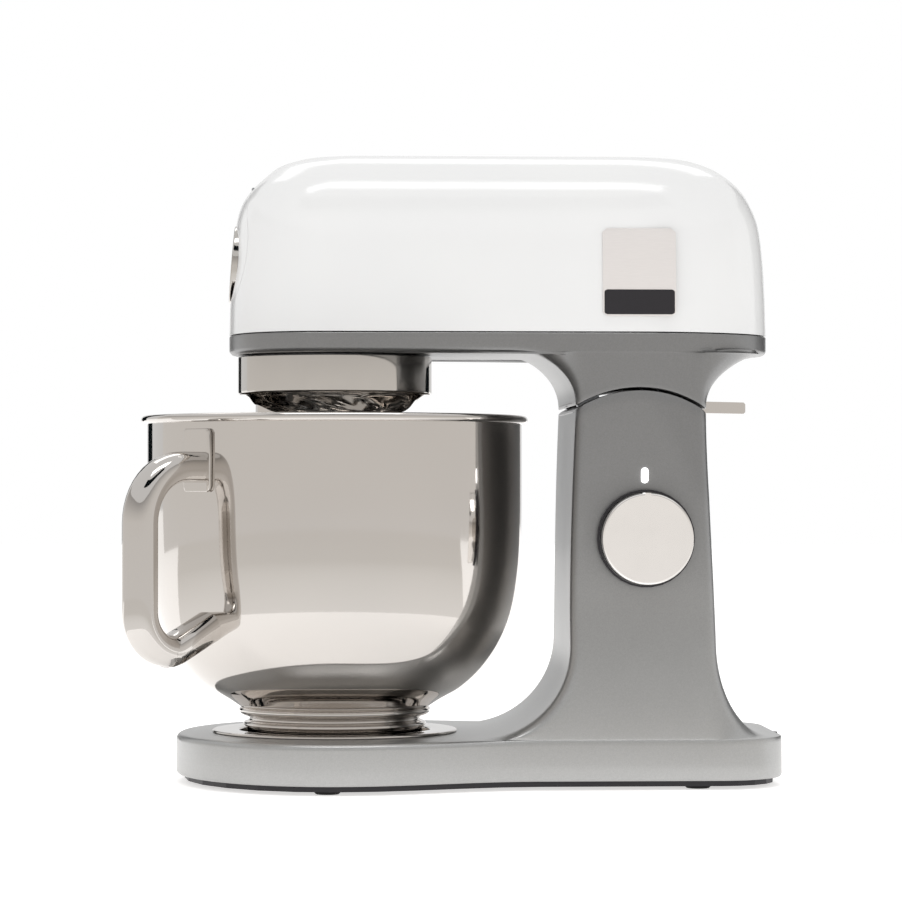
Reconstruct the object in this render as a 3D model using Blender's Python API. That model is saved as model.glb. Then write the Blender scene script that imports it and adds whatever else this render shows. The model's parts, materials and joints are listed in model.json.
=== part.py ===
"""Tilt-head stand mixer, built as separate named pieces.

Frame: metres. The origin is on the surface that the mixer stands on, straight
under the bowl's axis. +Z is up, +X runs back towards the neck, and -Y is the
side with the speed knob.
"""

import math

import bmesh
import bpy
from mathutils import Matrix, Vector

MM = 0.001

# ---------------------------------------------------------------- fits
GAP = 0.3 * MM                 # between pieces that touch or turn in each other
SEAM_GAP = 0.6 * MM            # seam between the head's cover and its casting
CASTING_WALL = 3.0 * MM
COVER_WALL = 2.6 * MM

# ---------------------------------------------------------------- base
BASE_BOTTOM = 5.0 * MM
BASE_TOP = 27.4 * MM
BASE_FRONT = -88.7 * MM
BASE_REAR = 247.0 * MM
BASE_HALF_WIDTH_BOWL = 104.0 * MM
BASE_HALF_WIDTH_REAR = 76.0 * MM
BASE_TAPER_END = 112.0 * MM    # where the wide front has narrowed to the rear width
BASE_REAR_CORNER = 38.0 * MM
BASE_EDGE = 3.5 * MM
FOOT_RADIUS = 7.0 * MM
FOOT_HEIGHT = 3.0 * MM
BOTTOM_PLATE_TOP = 9.0 * MM

# ---------------------------------------------------------------- neck
NECK_FRONT = 128.0 * MM
NECK_REAR = 205.0 * MM
NECK_HALF_WIDTH = 61.0 * MM
NECK_CORNER = 9.0 * MM
NECK_FRONT_FILLET = 52.0 * MM  # how far the foot of the neck runs out to the front
NECK_REAR_FILLET = 34.0 * MM
NECK_FILLET_RISE = 50.0 * MM
PIVOT_X = 166.0 * MM
PIVOT_Z = 152.8 * MM
PEDESTAL_ARC = 64.8 * MM       # crown of the pedestal, round the tilt pivot
TILT_GAP = 1.5 * MM
HEAD_ARC = PEDESTAL_ARC + TILT_GAP

# ---------------------------------------------------------------- head
HEAD_FRONT = -59.3 * MM
HEAD_REAR = 243.5 * MM
HEAD_HALF_WIDTH = 66.0 * MM
HEAD_NOSE = 50.0 * MM          # length of the rounded front end
HEAD_TAIL = 80.0 * MM          # length of the rounded rear end
ARM_BOTTOM = 238.5 * MM
SEAM_Z = 249.6 * MM
HEAD_TOP = 350.3 * MM

# ---------------------------------------------------------------- bowl and seat
BOWL_FOOT_RADIUS = 49.0 * MM
SEAT_WELL_RADIUS = BOWL_FOOT_RADIUS + 6.0 * MM
SEAT_RADIUS = SEAT_WELL_RADIUS + 13.6 * MM
SEAT_TOP = BASE_TOP + 1.6 * MM
SEAT_WELL_FLOOR = 19.0 * MM
SEAT_WALL = 1.6 * MM
BOWL_WALL = 1.2 * MM
BOWL_RADIUS = 105.4 * MM
BOWL_FLOOR = 38.0 * MM
BOWL_RIM_Z = 202.2 * MM
BOWL_BEAD = 2.3 * MM
BOWL_SIDES = 36
HANDLE_BAR = 8.8 * MM
HANDLE_REACH = BOWL_RADIUS + 42.6 * MM
HANDLE_TOP_Z = 175.3 * MM
HANDLE_LOW_Z = 76.5 * MM
HANDLE_FOOT_Z = 87.6 * MM
HANDLE_ANGLE = math.radians(225.0)

# ---------------------------------------------------------------- planetary drive
DRUM_BOTTOM = 216.7 * MM
DRUM_TOP = 237.6 * MM
DRUM_WALL = 2.4 * MM
DRUM_CLEARANCE = 2.1 * MM
RING_RIM = 5.0 * MM
CONE_BOTTOM = 205.0 * MM
CONE_RADIUS = 35.0 * MM
PLANET_MODULE = 2.5 * MM
RING_TEETH = 36
PLANET_TEETH = 12
TOOL_OFFSET = PLANET_MODULE * (RING_TEETH - PLANET_TEETH) / 2
RING_OUTER = PLANET_MODULE * RING_TEETH / 2 + RING_RIM
DRUM_RADIUS = RING_OUTER + DRUM_CLEARANCE + DRUM_WALL
PLANET_GEAR_BOTTOM = 226.0 * MM
PLANET_GEAR_TOP = 235.0 * MM
SHAFT_RADIUS = 5.0 * MM
DRIVE_MODULE = 1.875 * MM
MAIN_TEETH = 48
LAY_TEETH = 8
LAY_OFFSET = DRIVE_MODULE * (MAIN_TEETH + LAY_TEETH) / 2
MAIN_GEAR_BOTTOM = 254.0 * MM
MAIN_GEAR_TOP = 262.0 * MM
CROWN_TEETH = 24
OUTLET_TEETH = 12
CROWN_PITCH = 28.0 * MM
CROWN_MODULE = 2 * CROWN_PITCH / CROWN_TEETH
OUTLET_Z = 296.0 * MM
MOTOR_X = 166.0 * MM
LAY_SHAFT = 4.5 * MM
MOTOR_SHAFT = 4.5 * MM
MOTOR_PULLEY = 12.0 * MM
LAY_PULLEY = 36.0 * MM
PULLEY_BOTTOM = 312.0 * MM
PULLEY_TOP = 322.0 * MM
BELT_THICKNESS = 2.0 * MM

# ---------------------------------------------------------------- controls
KNOB_X = 169.0 * MM
KNOB_Z = 136.5 * MM
KNOB_RADIUS = 25.0 * MM
KNOB_RING_RADIUS = KNOB_RADIUS + 1.7 * MM
KNOB_DEPTH = 14.0 * MM
LIGHT_X = 168.5 * MM
LIGHT_Z = KNOB_Z + KNOB_RING_RADIUS + 7.8 * MM
LEVER_Z = 209.5 * MM
LEVER_TIP = 231.5 * MM
LEVER_PIVOT_X = 191.0 * MM
LEVER_PIVOT_Z = 220.5 * MM
OUTLET_RADIUS = 34.5 * MM

ROUND = 24                     # sides of an ordinary round piece


# ================================================================ helpers
def material(name, colour, roughness, metallic):
    """Principled material, one for each finish."""
    found = bpy.data.materials.get(name)
    if found:
        return found
    made = bpy.data.materials.new(name)
    made.use_nodes = True
    shader = made.node_tree.nodes["Principled BSDF"]
    shader.inputs["Base Color"].default_value = (*colour, 1.0)
    shader.inputs["Roughness"].default_value = roughness
    shader.inputs["Metallic"].default_value = metallic
    return made


def finish(name):
    """The finishes of the mixer by their plain names."""
    looks = {
        "white_enamel": ((0.86, 0.86, 0.86), 0.12, 0.0),
        "silver_paint": ((0.50, 0.51, 0.53), 0.30, 0.6),
        "polished_steel": ((0.75, 0.74, 0.72), 0.06, 1.0),
        "steel": ((0.52, 0.53, 0.55), 0.35, 1.0),
        "aluminium": ((0.62, 0.63, 0.65), 0.40, 1.0),
        "bronze": ((0.55, 0.38, 0.18), 0.40, 1.0),
        "copper": ((0.60, 0.28, 0.14), 0.35, 1.0),
        "dark_plastic": ((0.03, 0.028, 0.035), 0.45, 0.0),
        "black_rubber": ((0.02, 0.02, 0.02), 0.80, 0.0),
        "white_plastic": ((0.80, 0.80, 0.80), 0.25, 0.0),
        "gear_plastic": ((0.72, 0.70, 0.62), 0.45, 0.0),
        "board_green": ((0.02, 0.16, 0.07), 0.50, 0.0),
        "light_lens": ((0.95, 0.97, 1.0), 0.20, 0.0),
    }
    return material(name, *looks[name])


def add_object(name, bm, finish_name, origin=None, parent=None):
    """Turn a bmesh into a named object whose origin sits at a world point."""
    bmesh.ops.remove_doubles(bm, verts=bm.verts, dist=1e-7)
    bmesh.ops.recalc_face_normals(bm, faces=bm.faces)
    place = Vector(origin) if origin else Vector((0.0, 0.0, 0.0))
    bmesh.ops.translate(bm, verts=bm.verts, vec=-place)
    mesh = bpy.data.meshes.new(name)
    bm.to_mesh(mesh)
    bm.free()
    mesh.materials.append(finish(finish_name))
    mesh.shade_smooth()
    mesh.set_sharp_from_angle(angle=math.radians(35.0))
    thing = bpy.data.objects.new(name, mesh)
    bpy.context.scene.collection.objects.link(thing)
    thing.location = place
    if parent:
        thing.parent = parent
        thing.matrix_parent_inverse = Matrix.Translation(-parent.location)
    return thing


def joint_empty(name, place):
    """An empty on a joint's axis, the parent of all that turns there."""
    empty = bpy.data.objects.new(name, None)
    empty.empty_display_size = 0.02
    empty.location = place
    bpy.context.scene.collection.objects.link(empty)
    return empty


def circle(radius, count=ROUND, start=0.0):
    step = 2.0 * math.pi / count
    return [(radius * math.cos(start + i * step), radius * math.sin(start + i * step))
            for i in range(count)]


def place_matrix(axis, at):
    """Maps a local frame, whose Z is the piece's axis, to the world."""
    turns = {
        "z": Matrix.Identity(4),
        "x": Matrix.Rotation(math.pi / 2, 4, "Y"),
        "y": Matrix.Rotation(math.pi / 2, 4, "X"),
    }
    return Matrix.Translation(Vector(at)) @ turns[axis]


def extrude_outline(bm, outline, low, high, holes=()):
    """Prism from a flat outline, with round or shaped holes right through it."""
    edges = []
    for ring in (outline, *holes):
        verts = [bm.verts.new((x, y, low)) for x, y in ring]
        edges += [bm.edges.new((verts[i], verts[(i + 1) % len(verts)]))
                  for i in range(len(verts))]
    filled = bmesh.ops.triangle_fill(bm, use_beauty=True, edges=edges)
    faces = [g for g in filled["geom"] if isinstance(g, bmesh.types.BMFace)]
    raised = bmesh.ops.extrude_face_region(bm, geom=faces, use_keep_orig=True)
    moved = [g for g in raised["geom"] if isinstance(g, bmesh.types.BMVert)]
    bmesh.ops.translate(bm, verts=moved, vec=(0.0, 0.0, high - low))
    return bm


def prism(name, outline, low, high, finish_name, axis="z", at=(0, 0, 0), holes=(), **more):
    bm = extrude_outline(bmesh.new(), outline, low, high, holes)
    bmesh.ops.transform(bm, matrix=place_matrix(axis, at), verts=bm.verts)
    return add_object(name, bm, finish_name, **more)


def turned_mesh(profile, count=ROUND):
    """Closed solid turned about Z. A profile that starts and ends on the axis is
    solid, and any other profile is a closed ring section."""
    bm = bmesh.new()
    rings = []
    for radius, z in profile:
        if radius < 1e-7:
            rings.append([bm.verts.new((0.0, 0.0, z))])
        else:
            rings.append([bm.verts.new((x, y, z)) for x, y in circle(radius, count)])
    on_axis = len(rings[0]) == 1
    pairs = list(zip(rings, rings[1:])) if on_axis else list(zip(rings, rings[1:] + rings[:1]))
    for lower, upper in pairs:
        for i in range(count):
            j = (i + 1) % count
            if len(lower) == 1 and len(upper) == 1:
                continue
            if len(lower) == 1:
                bm.faces.new((lower[0], upper[i], upper[j]))
            elif len(upper) == 1:
                bm.faces.new((lower[i], lower[j], upper[0]))
            else:
                bm.faces.new((lower[i], lower[j], upper[j], upper[i]))
    return bm


def turned(name, profile, finish_name, axis="z", at=(0, 0, 0), count=ROUND, **more):
    bm = turned_mesh(profile, count)
    bmesh.ops.transform(bm, matrix=place_matrix(axis, at), verts=bm.verts)
    return add_object(name, bm, finish_name, **more)


def block(name, low, high, finish_name, **more):
    """A plain plate or bar between two corners."""
    bm = bmesh.new()
    bmesh.ops.create_cube(bm, size=1.0)
    size = Vector(high) - Vector(low)
    middle = (Vector(high) + Vector(low)) / 2
    bmesh.ops.scale(bm, vec=size, verts=bm.verts)
    bmesh.ops.translate(bm, vec=middle, verts=bm.verts)
    return add_object(name, bm, finish_name, **more)


def hidden_cutter(bm, name):
    thing = add_object(name, bm, "steel")
    thing.hide_render = True
    thing.display_type = "WIRE"
    return thing


def cut(target, cutter, operation="DIFFERENCE"):
    modifier = target.modifiers.new(cutter.name, "BOOLEAN")
    modifier.operation = operation
    modifier.solver = "EXACT"
    modifier.object = cutter


def cut_round(target, name, radius, low, high, axis="z", at=(0, 0, 0), count=ROUND):
    bm = extrude_outline(bmesh.new(), circle(radius, count), low, high)
    bmesh.ops.transform(bm, matrix=place_matrix(axis, at), verts=bm.verts)
    cut(target, hidden_cutter(bm, name))


def cut_block(target, name, low, high, operation="DIFFERENCE"):
    bm = bmesh.new()
    bmesh.ops.create_cube(bm, size=1.0)
    bmesh.ops.scale(bm, vec=Vector(high) - Vector(low), verts=bm.verts)
    bmesh.ops.translate(bm, vec=(Vector(high) + Vector(low)) / 2, verts=bm.verts)
    cut(target, hidden_cutter(bm, name), operation)


def rounded_rectangle(half_x, half_y, radius, steps=4, centre=(0.0, 0.0)):
    points = []
    corners = ((1, 1, 0.0), (-1, 1, 90.0), (-1, -1, 180.0), (1, -1, 270.0))
    for sign_x, sign_y, start in corners:
        for i in range(steps + 1):
            turn = math.radians(start + 90.0 * i / steps)
            points.append((centre[0] + sign_x * (half_x - radius) + radius * math.cos(turn),
                           centre[1] + sign_y * (half_y - radius) + radius * math.sin(turn)))
    return points


# ================================================================ lofted shells
# A section is half an outline seen from above, from the middle of its front edge
# round the +Y side to the middle of its rear edge. Every section has the same
# number of points, so that sections join point to point.
FRONT_POINTS = 6
TAPER_POINTS = 5
REAR_POINTS = 6


def blend(a, b, t):
    return a + (b - a) * t


def wide_front_section(front, rear, half_bowl, half_rear, corner, taper_end):
    """The base's outline: an elliptical front, a smooth narrowing and round rear corners."""
    points = []
    for i in range(FRONT_POINTS):
        turn = math.pi / 2 * i / FRONT_POINTS
        points.append((front * math.cos(turn), half_bowl * math.sin(turn)))
    for i in range(TAPER_POINTS):
        t = i / TAPER_POINTS
        ease = 0.5 - 0.5 * math.cos(math.pi * t)
        points.append((taper_end * t, blend(half_bowl, half_rear, ease)))
    for i in range(REAR_POINTS + 1):
        t = max(0.0, (i - 1) / (REAR_POINTS - 1))
        turn = math.pi / 2 * t
        x = rear - corner + corner * math.sin(turn)
        y = half_rear - corner + corner * math.cos(turn)
        points.append((taper_end, half_rear) if i == 0 else (x, y))
    points.append((rear, 0.0))
    return points


def oval_section(front, rear, half_width, nose, tail):
    """The head's outline: straight sides between two elliptical ends."""
    points = []
    for i in range(FRONT_POINTS):
        turn = math.pi / 2 * i / FRONT_POINTS
        points.append((front + nose - nose * math.cos(turn), half_width * math.sin(turn)))
    for i in range(TAPER_POINTS):
        t = i / TAPER_POINTS
        points.append((blend(front + nose, rear - tail, t), half_width))
    for i in range(REAR_POINTS + 2):
        turn = math.pi / 2 * i / (REAR_POINTS + 1)
        points.append((rear - tail + tail * math.sin(turn), half_width * math.cos(turn)))
    return points


def box_section(front, rear, half_width, front_x, front_y, rear_x, rear_y):
    """The neck's outline: a rectangle whose corners are quarter ellipses."""
    points = [(front, 0.0), (front, 0.5 * (half_width - front_y))]
    corner_steps = FRONT_POINTS - 2
    for i in range(corner_steps):
        turn = math.pi / 2 * i / corner_steps
        points.append((front + front_x - front_x * math.cos(turn),
                       half_width - front_y + front_y * math.sin(turn)))
    for i in range(TAPER_POINTS + 1):
        t = i / TAPER_POINTS
        points.append((blend(front + front_x, rear - rear_x, t), half_width))
    corner_steps = REAR_POINTS - 1
    for i in range(1, corner_steps + 1):
        turn = math.pi / 2 * i / corner_steps
        points.append((rear - rear_x + rear_x * math.sin(turn),
                       half_width - rear_y + rear_y * math.cos(turn)))
    points.append((rear, 0.5 * (half_width - rear_y)))
    points.append((rear, 0.0))
    return points


def lift(section, height):
    """Gives a section its height, a number or a function of x."""
    return [(x, y, height(x) if callable(height) else height) for x, y in section]


def inset(section, wall):
    """The same section, a wall's thickness further in."""
    front = section[0][0]
    rear = section[-1][0]
    half = max(y for x, y in section)
    middle = (front + rear) / 2
    squeeze_x = (rear - front - 2 * wall) / (rear - front)
    squeeze_y = (half - wall) / half
    return [(middle + (x - middle) * squeeze_x, y * squeeze_y) for x, y in section]


def arc_height(radius):
    """Height of a cylinder round the tilt pivot, at x."""
    def height(x):
        across = min(abs(x - PIVOT_X), radius * 0.999)
        return PIVOT_Z + math.sqrt(radius * radius - across * across)
    return height


def add_ring(bm, half):
    """Vertices right round, from the half section and its mirror image."""
    near = [bm.verts.new(p) for p in half]
    far = [bm.verts.new((x, -y, z)) for x, y, z in reversed(half[1:-1])]
    return near + far


def join_rings(bm, lower, upper):
    count = len(lower)
    for i in range(count):
        j = (i + 1) % count
        bm.faces.new((lower[i], lower[j], upper[j], upper[i]))


def close_ring(bm, ring):
    """A cap of strips across the ring, each between a point and its mirror image."""
    count = len(ring)
    half = count // 2
    x_front = ring[0].co.x
    start = 1
    while abs(ring[start + 1].co.x - x_front) < 1e-7:
        start += 1
    stop = half - 1
    while abs(ring[stop - 1].co.x - ring[half].co.x) < 1e-7:
        stop -= 1
    first = [ring[-k % count] for k in range(start + 1, 0, -1)] + ring[:start + 2]
    bm.faces.new(first)
    for i in range(start + 1, stop - 1):
        bm.faces.new((ring[i], ring[i + 1], ring[-(i + 1)], ring[-i]))
    last = ring[stop - 1:count - stop + 2]
    bm.faces.new(last)


def shell(outer, inner):
    """A closed wall between two lofts that share the rim of their first section."""
    bm = bmesh.new()
    outer_rings = [add_ring(bm, half) for half in outer]
    inner_rings = [add_ring(bm, half) for half in inner]
    for lower, upper in zip(outer_rings, outer_rings[1:]):
        join_rings(bm, lower, upper)
    for lower, upper in zip(inner_rings, inner_rings[1:]):
        join_rings(bm, upper, lower)
    join_rings(bm, inner_rings[0], outer_rings[0])
    close_ring(bm, outer_rings[-1])
    close_ring(bm, inner_rings[-1])
    return bm


# ================================================================ gears
def gear_outline(teeth, module, backlash, internal=False):
    """Stub teeth whose flanks run straight between points of the involute."""
    pitch = module * teeth / 2
    tip = pitch + (-0.8 if internal else 0.8) * module
    root = pitch + (1.05 if internal else -1.05) * module
    pressure = math.radians(20.0)
    base = pitch * math.cos(pressure)
    quarter = math.pi / (2 * teeth)
    involute_pitch = math.tan(pressure) - pressure

    def half_angle(radius):
        if radius <= base:
            flank = 0.0
        else:
            turn = math.acos(base / radius)
            flank = math.tan(turn) - turn
        bend = involute_pitch - flank
        thinner = backlash / (2 * pitch)
        if internal:
            return quarter - bend - thinner
        return quarter + bend - thinner

    points = []
    for i in range(teeth):
        middle = 2 * math.pi * i / teeth
        low = (root, half_angle(root))
        high = (tip, half_angle(tip))
        for radius, spread, side in ((*low, -1), (*high, -1), (*high, 1), (*low, 1)):
            turn = middle + side * spread
            points.append((radius * math.cos(turn), radius * math.sin(turn)))
    return points


def gap_towards_mate(teeth):
    """Turn that puts a gap between teeth on the -X side, where the mating tooth is."""
    return math.pi / teeth if teeth % 2 == 0 else 0.0


def turn_outline(points, angle, centre=(0.0, 0.0)):
    c, s = math.cos(angle), math.sin(angle)
    return [(centre[0] + x * c - y * s, centre[1] + x * s + y * c) for x, y in points]


# ================================================================ stand
def neck_profile():
    """Sections of the base and the neck, from the skirt's edge up to the crown."""
    sections = []
    edge = BASE_EDGE

    def base_section(inward):
        return wide_front_section(
            BASE_FRONT + inward, BASE_REAR - inward, BASE_HALF_WIDTH_BOWL - inward,
            BASE_HALF_WIDTH_REAR - inward, BASE_REAR_CORNER - inward, BASE_TAPER_END)

    sections.append(lift(base_section(1.0 * MM), BASE_BOTTOM))
    sections.append(lift(base_section(0.0), BASE_BOTTOM + 6.0 * MM))
    sections.append(lift(base_section(0.4 * MM), BASE_TOP - edge))
    sections.append(lift(base_section(0.3 * edge), BASE_TOP - 0.3 * edge))
    sections.append(lift(base_section(edge), BASE_TOP))
    for i in range(6):
        turn = math.pi / 2 * i / 5
        away = 1.0 - math.sin(turn)
        rise = 1.0 - math.cos(turn)
        front = NECK_FRONT - NECK_FRONT_FILLET * away
        rear = NECK_REAR + NECK_REAR_FILLET * away
        flare = BASE_HALF_WIDTH_REAR - edge - 1.0 * MM - NECK_HALF_WIDTH
        half = NECK_HALF_WIDTH + flare * away
        height = BASE_TOP + rise * NECK_FILLET_RISE
        corner_front = NECK_CORNER + NECK_FRONT_FILLET * away
        corner_rear = NECK_CORNER + NECK_REAR_FILLET * away
        corner_side = NECK_CORNER + (flare + 14.0 * MM) * away
        sections.append(lift(box_section(front, rear, half, corner_front, corner_side,
                                         corner_rear, corner_side), height))
    waist = box_section(NECK_FRONT, NECK_REAR, NECK_HALF_WIDTH, NECK_CORNER, NECK_CORNER,
                        NECK_CORNER, NECK_CORNER)
    sections.append(lift(waist, 110.0 * MM))
    crown = box_section(NECK_FRONT + 3.0 * MM, NECK_REAR - 2.0 * MM, HEAD_HALF_WIDTH - 0.5 * MM,
                        NECK_CORNER, NECK_CORNER, NECK_CORNER, NECK_CORNER)
    middle = [(blend(a[0], b[0], 0.55), blend(a[1], b[1], 0.45)) for a, b in zip(waist, crown)]
    sections.append(lift(middle, 165.0 * MM))
    sections.append(lift(crown, arc_height(PEDESTAL_ARC)))
    return sections


def shifted_inside(sections, wall, shift, last_height):
    """The inner faces of a casting: each section comes in by the wall and moves
    by the wall along Z, the rim stays level, and the crown is concentric."""
    inner = []
    for index, section in enumerate(sections):
        flat = inset([(x, y) for x, y, z in section], wall)
        if index == 0:
            inner.append([(x, y, z) for (x, y), (_, _, z) in zip(flat, section)])
        elif index == len(sections) - 1:
            inner.append(lift(flat, last_height))
        else:
            inner.append([(x, y, z + shift) for (x, y), (_, _, z) in zip(flat, section)])
    return inner


ARM_SLOT_Y = (33.0 * MM, 43.0 * MM)
HINGE_ARM_LEAN = math.radians(-24.0)
HINGE_ARM_HALF = 6.5 * MM


def base_casting():
    outer = neck_profile()
    inner = shifted_inside(outer, CASTING_WALL, -CASTING_WALL,
                           arc_height(PEDESTAL_ARC - CASTING_WALL))
    casting = add_object("base_casting", shell(outer, inner), "silver_paint")
    cut_round(casting, "cut_seat", SEAT_WELL_RADIUS + SEAT_WALL + GAP, 15.0 * MM, 40.0 * MM)
    cut_round(casting, "cut_knob", 4.0 * MM, 40.0 * MM, 80.0 * MM, "y",
              (KNOB_X, 0.0, KNOB_Z), 16)
    cut_block(casting, "cut_light",
              (LIGHT_X - 2.05 * MM - GAP, -80.0 * MM, LIGHT_Z - 4.35 * MM - GAP),
              (LIGHT_X + 2.05 * MM + GAP, -50.0 * MM, LIGHT_Z + 4.35 * MM + GAP))
    cut_round(casting, "cut_inlet", 5.0 * MM + GAP, 225.0 * MM, 270.0 * MM, "x",
              (0.0, 45.0 * MM, 17.0 * MM), 16)
    for side, name in ((-1, "cut_arm_right"), (1, "cut_arm_left")):
        low, high = sorted((side * ARM_SLOT_Y[0], side * ARM_SLOT_Y[1]))
        cut_block(casting, name, (NECK_FRONT + 5.5 * MM, low, 190.0 * MM),
                  (PIVOT_X + 34.0 * MM, high, 230.0 * MM))
    return casting


def base_parts():
    outline = wide_front_section(
        BASE_FRONT + 4.6 * MM, BASE_REAR - 4.6 * MM, BASE_HALF_WIDTH_BOWL - 4.6 * MM,
        BASE_HALF_WIDTH_REAR - 4.6 * MM, BASE_REAR_CORNER - 4.6 * MM, BASE_TAPER_END)
    full = outline + [(x, -y) for x, y in reversed(outline[1:-1])]
    foot_places = {
        "foot_centre": (0.0, 0.0),
        "foot_front_left": (-5.0 * MM, 88.0 * MM),
        "foot_front_right": (-5.0 * MM, -88.0 * MM),
        "foot_rear_left": (198.0 * MM, 60.0 * MM),
        "foot_rear_right": (198.0 * MM, -60.0 * MM),
    }
    prism("base_cover", full, FOOT_HEIGHT - 1.2 * MM, BOTTOM_PLATE_TOP, "dark_plastic",
          holes=[[(x + px, y + py) for px, py in circle(3.0 * MM, 12)]
                 for x, y in foot_places.values()])
    for name, (x, y) in foot_places.items():
        peg = 2.6 * MM
        profile = [(0.0, 0.0), (FOOT_RADIUS - 0.8 * MM, 0.0), (FOOT_RADIUS, 0.8 * MM),
                   (FOOT_RADIUS, FOOT_HEIGHT - 1.2 * MM - GAP),
                   (peg, FOOT_HEIGHT - 1.2 * MM - GAP), (peg, BOTTOM_PLATE_TOP + 1.0 * MM),
                   (0.0, BOTTOM_PLATE_TOP + 1.0 * MM)]
        turned(name, profile, "black_rubber", at=(x, y, 0.0), count=14)
    turned("cord_inlet", [(2.6 * MM, 0.0), (5.0 * MM, 0.0), (5.0 * MM, 4.5 * MM),
                          (7.5 * MM, 4.5 * MM), (6.0 * MM, 14.0 * MM), (2.6 * MM, 14.0 * MM)],
           "black_rubber", "x", (BASE_REAR - 4.2 * MM, 45.0 * MM, 17.0 * MM), 20)


SEAT_TABS = 4
SEAT_TAB_SPAN = math.radians(26.0)


def arc_block(inner, outer, low, high, start, span, steps=5):
    """A short curved bar, part of a ring."""
    points = [(outer * math.cos(start + span * i / steps), outer * math.sin(start + span * i / steps))
              for i in range(steps + 1)]
    points += [(inner * math.cos(start + span * i / steps), inner * math.sin(start + span * i / steps))
               for i in reversed(range(steps + 1))]
    return extrude_outline(bmesh.new(), points, low, high)


def bowl_seat():
    well = SEAT_WELL_RADIUS
    profile = [(0.0, SEAT_WELL_FLOOR), (well, SEAT_WELL_FLOOR), (well, BASE_TOP + GAP),
               (SEAT_RADIUS, BASE_TOP + GAP), (SEAT_RADIUS, SEAT_TOP - 0.4 * MM),
               (SEAT_RADIUS - 0.4 * MM, SEAT_TOP), (well - SEAT_WALL, SEAT_TOP),
               (well - SEAT_WALL, SEAT_WELL_FLOOR + SEAT_WALL),
               (0.0, SEAT_WELL_FLOOR + SEAT_WALL)]
    seat = turned("bowl_seat", profile, "polished_steel", count=32)
    for i in range(SEAT_TABS):
        start = HANDLE_ANGLE + 2 * math.pi * i / SEAT_TABS - SEAT_TAB_SPAN / 2
        tab = arc_block(BOWL_FOOT_RADIUS + 1.0 * MM, well - SEAT_WALL / 2, SEAT_TOP - 2.2 * MM,
                        SEAT_TOP - 0.2 * MM, start, SEAT_TAB_SPAN)
        cut(seat, hidden_cutter(tab, "add_tab_%d" % i), "UNION")
    return seat


# Outside of the bowl: share of its radius, share of its height above the foot.
BOWL_CURVE = [(0.451, 0.0), (0.553, 0.043), (0.687, 0.091), (0.797, 0.156), (0.887, 0.241),
              (0.949, 0.347), (0.985, 0.493), (0.998, 0.652), (1.0, 1.0)]


def bowl_profile():
    """Outside of the bowl from its foot to under the rim's bead, as radius and height."""
    top = BOWL_RIM_Z - BOWL_BEAD
    return [(share * BOWL_RADIUS, blend(BOWL_FLOOR, top, rise)) for share, rise in BOWL_CURVE]


def bowl_radius_at(z):
    profile = bowl_profile()
    for low, high in zip(profile, profile[1:]):
        if z <= high[1]:
            return blend(low[0], high[0], (z - low[1]) / (high[1] - low[1]))
    return BOWL_RADIUS


def bowl_parts():
    pivot = joint_empty("bowl_twist", (0.0, 0.0, SEAT_TOP))
    outside = bowl_profile()
    bead_centre = BOWL_RADIUS + 1.2 * MM
    bead = []
    for i in range(5):
        turn = math.radians(-110.0 + 66.0 * i)
        bead.append((bead_centre + BOWL_BEAD * math.cos(turn), BOWL_RIM_Z + BOWL_BEAD * math.sin(turn)))
    inside = []
    for i, (r, z) in enumerate(outside):
        ahead = outside[min(i + 1, len(outside) - 1)]
        behind = outside[max(i - 1, 0)]
        along = Vector((ahead[0] - behind[0], ahead[1] - behind[1])).normalized()
        inside.append((r - BOWL_WALL * along.y, z + BOWL_WALL * along.x))
    floor_z = outside[0][1] + BOWL_WALL
    profile = [(0.0, outside[0][1])] + outside + bead + list(reversed(inside[1:])) \
        + [(inside[0][0], floor_z), (0.0, floor_z)]
    turned("bowl", profile, "polished_steel", count=BOWL_SIDES, parent=pivot)

    r = BOWL_FOOT_RADIUS
    foot_low = SEAT_WELL_FLOOR + SEAT_WALL + GAP
    foot_high = outside[0][1] - GAP
    foot = turned("bowl_foot", [(r - 6.0 * MM, foot_low), (r, foot_low), (r, SEAT_TOP + 2.0 * MM),
                                (r - 1.6 * MM, SEAT_TOP + 3.5 * MM), (r - 1.6 * MM, foot_high),
                                (r - 6.0 * MM, foot_high)],
                  "polished_steel", count=32, parent=pivot)
    for i in range(SEAT_TABS):
        start = HANDLE_ANGLE + 2 * math.pi * i / SEAT_TABS - SEAT_TAB_SPAN / 2
        lug = arc_block(r - 1.0 * MM, SEAT_WELL_RADIUS - SEAT_WALL - 0.8 * MM, foot_low + 0.4 * MM,
                        SEAT_TOP - 2.2 * MM - GAP, start, SEAT_TAB_SPAN)
        cut(foot, hidden_cutter(lug, "add_lug_%d" % i), "UNION")
    bowl_handle(pivot)
    return pivot


def smooth_run(points, radii, steps=5):
    """Points of a bent bar: straight runs joined by round corners."""
    run = [Vector(points[0])]
    for before, corner, after, radius in zip(points, points[1:], points[2:], radii):
        here = Vector(corner)
        arrive = (here - Vector(before)).normalized()
        leave = (Vector(after) - here).normalized()
        bend = arrive.angle(leave)
        reach = radius * math.tan(bend / 2)
        first = here - arrive * reach
        normal = (leave - arrive).normalized()
        centre = here + normal * (radius / math.cos(bend / 2))
        axis = arrive.cross(leave).normalized()
        for i in range(steps + 1):
            spin = Matrix.Rotation(bend * i / steps, 3, axis)
            run.append(centre + spin @ (first - centre))
    run.append(Vector(points[-1]))
    return run


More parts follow.
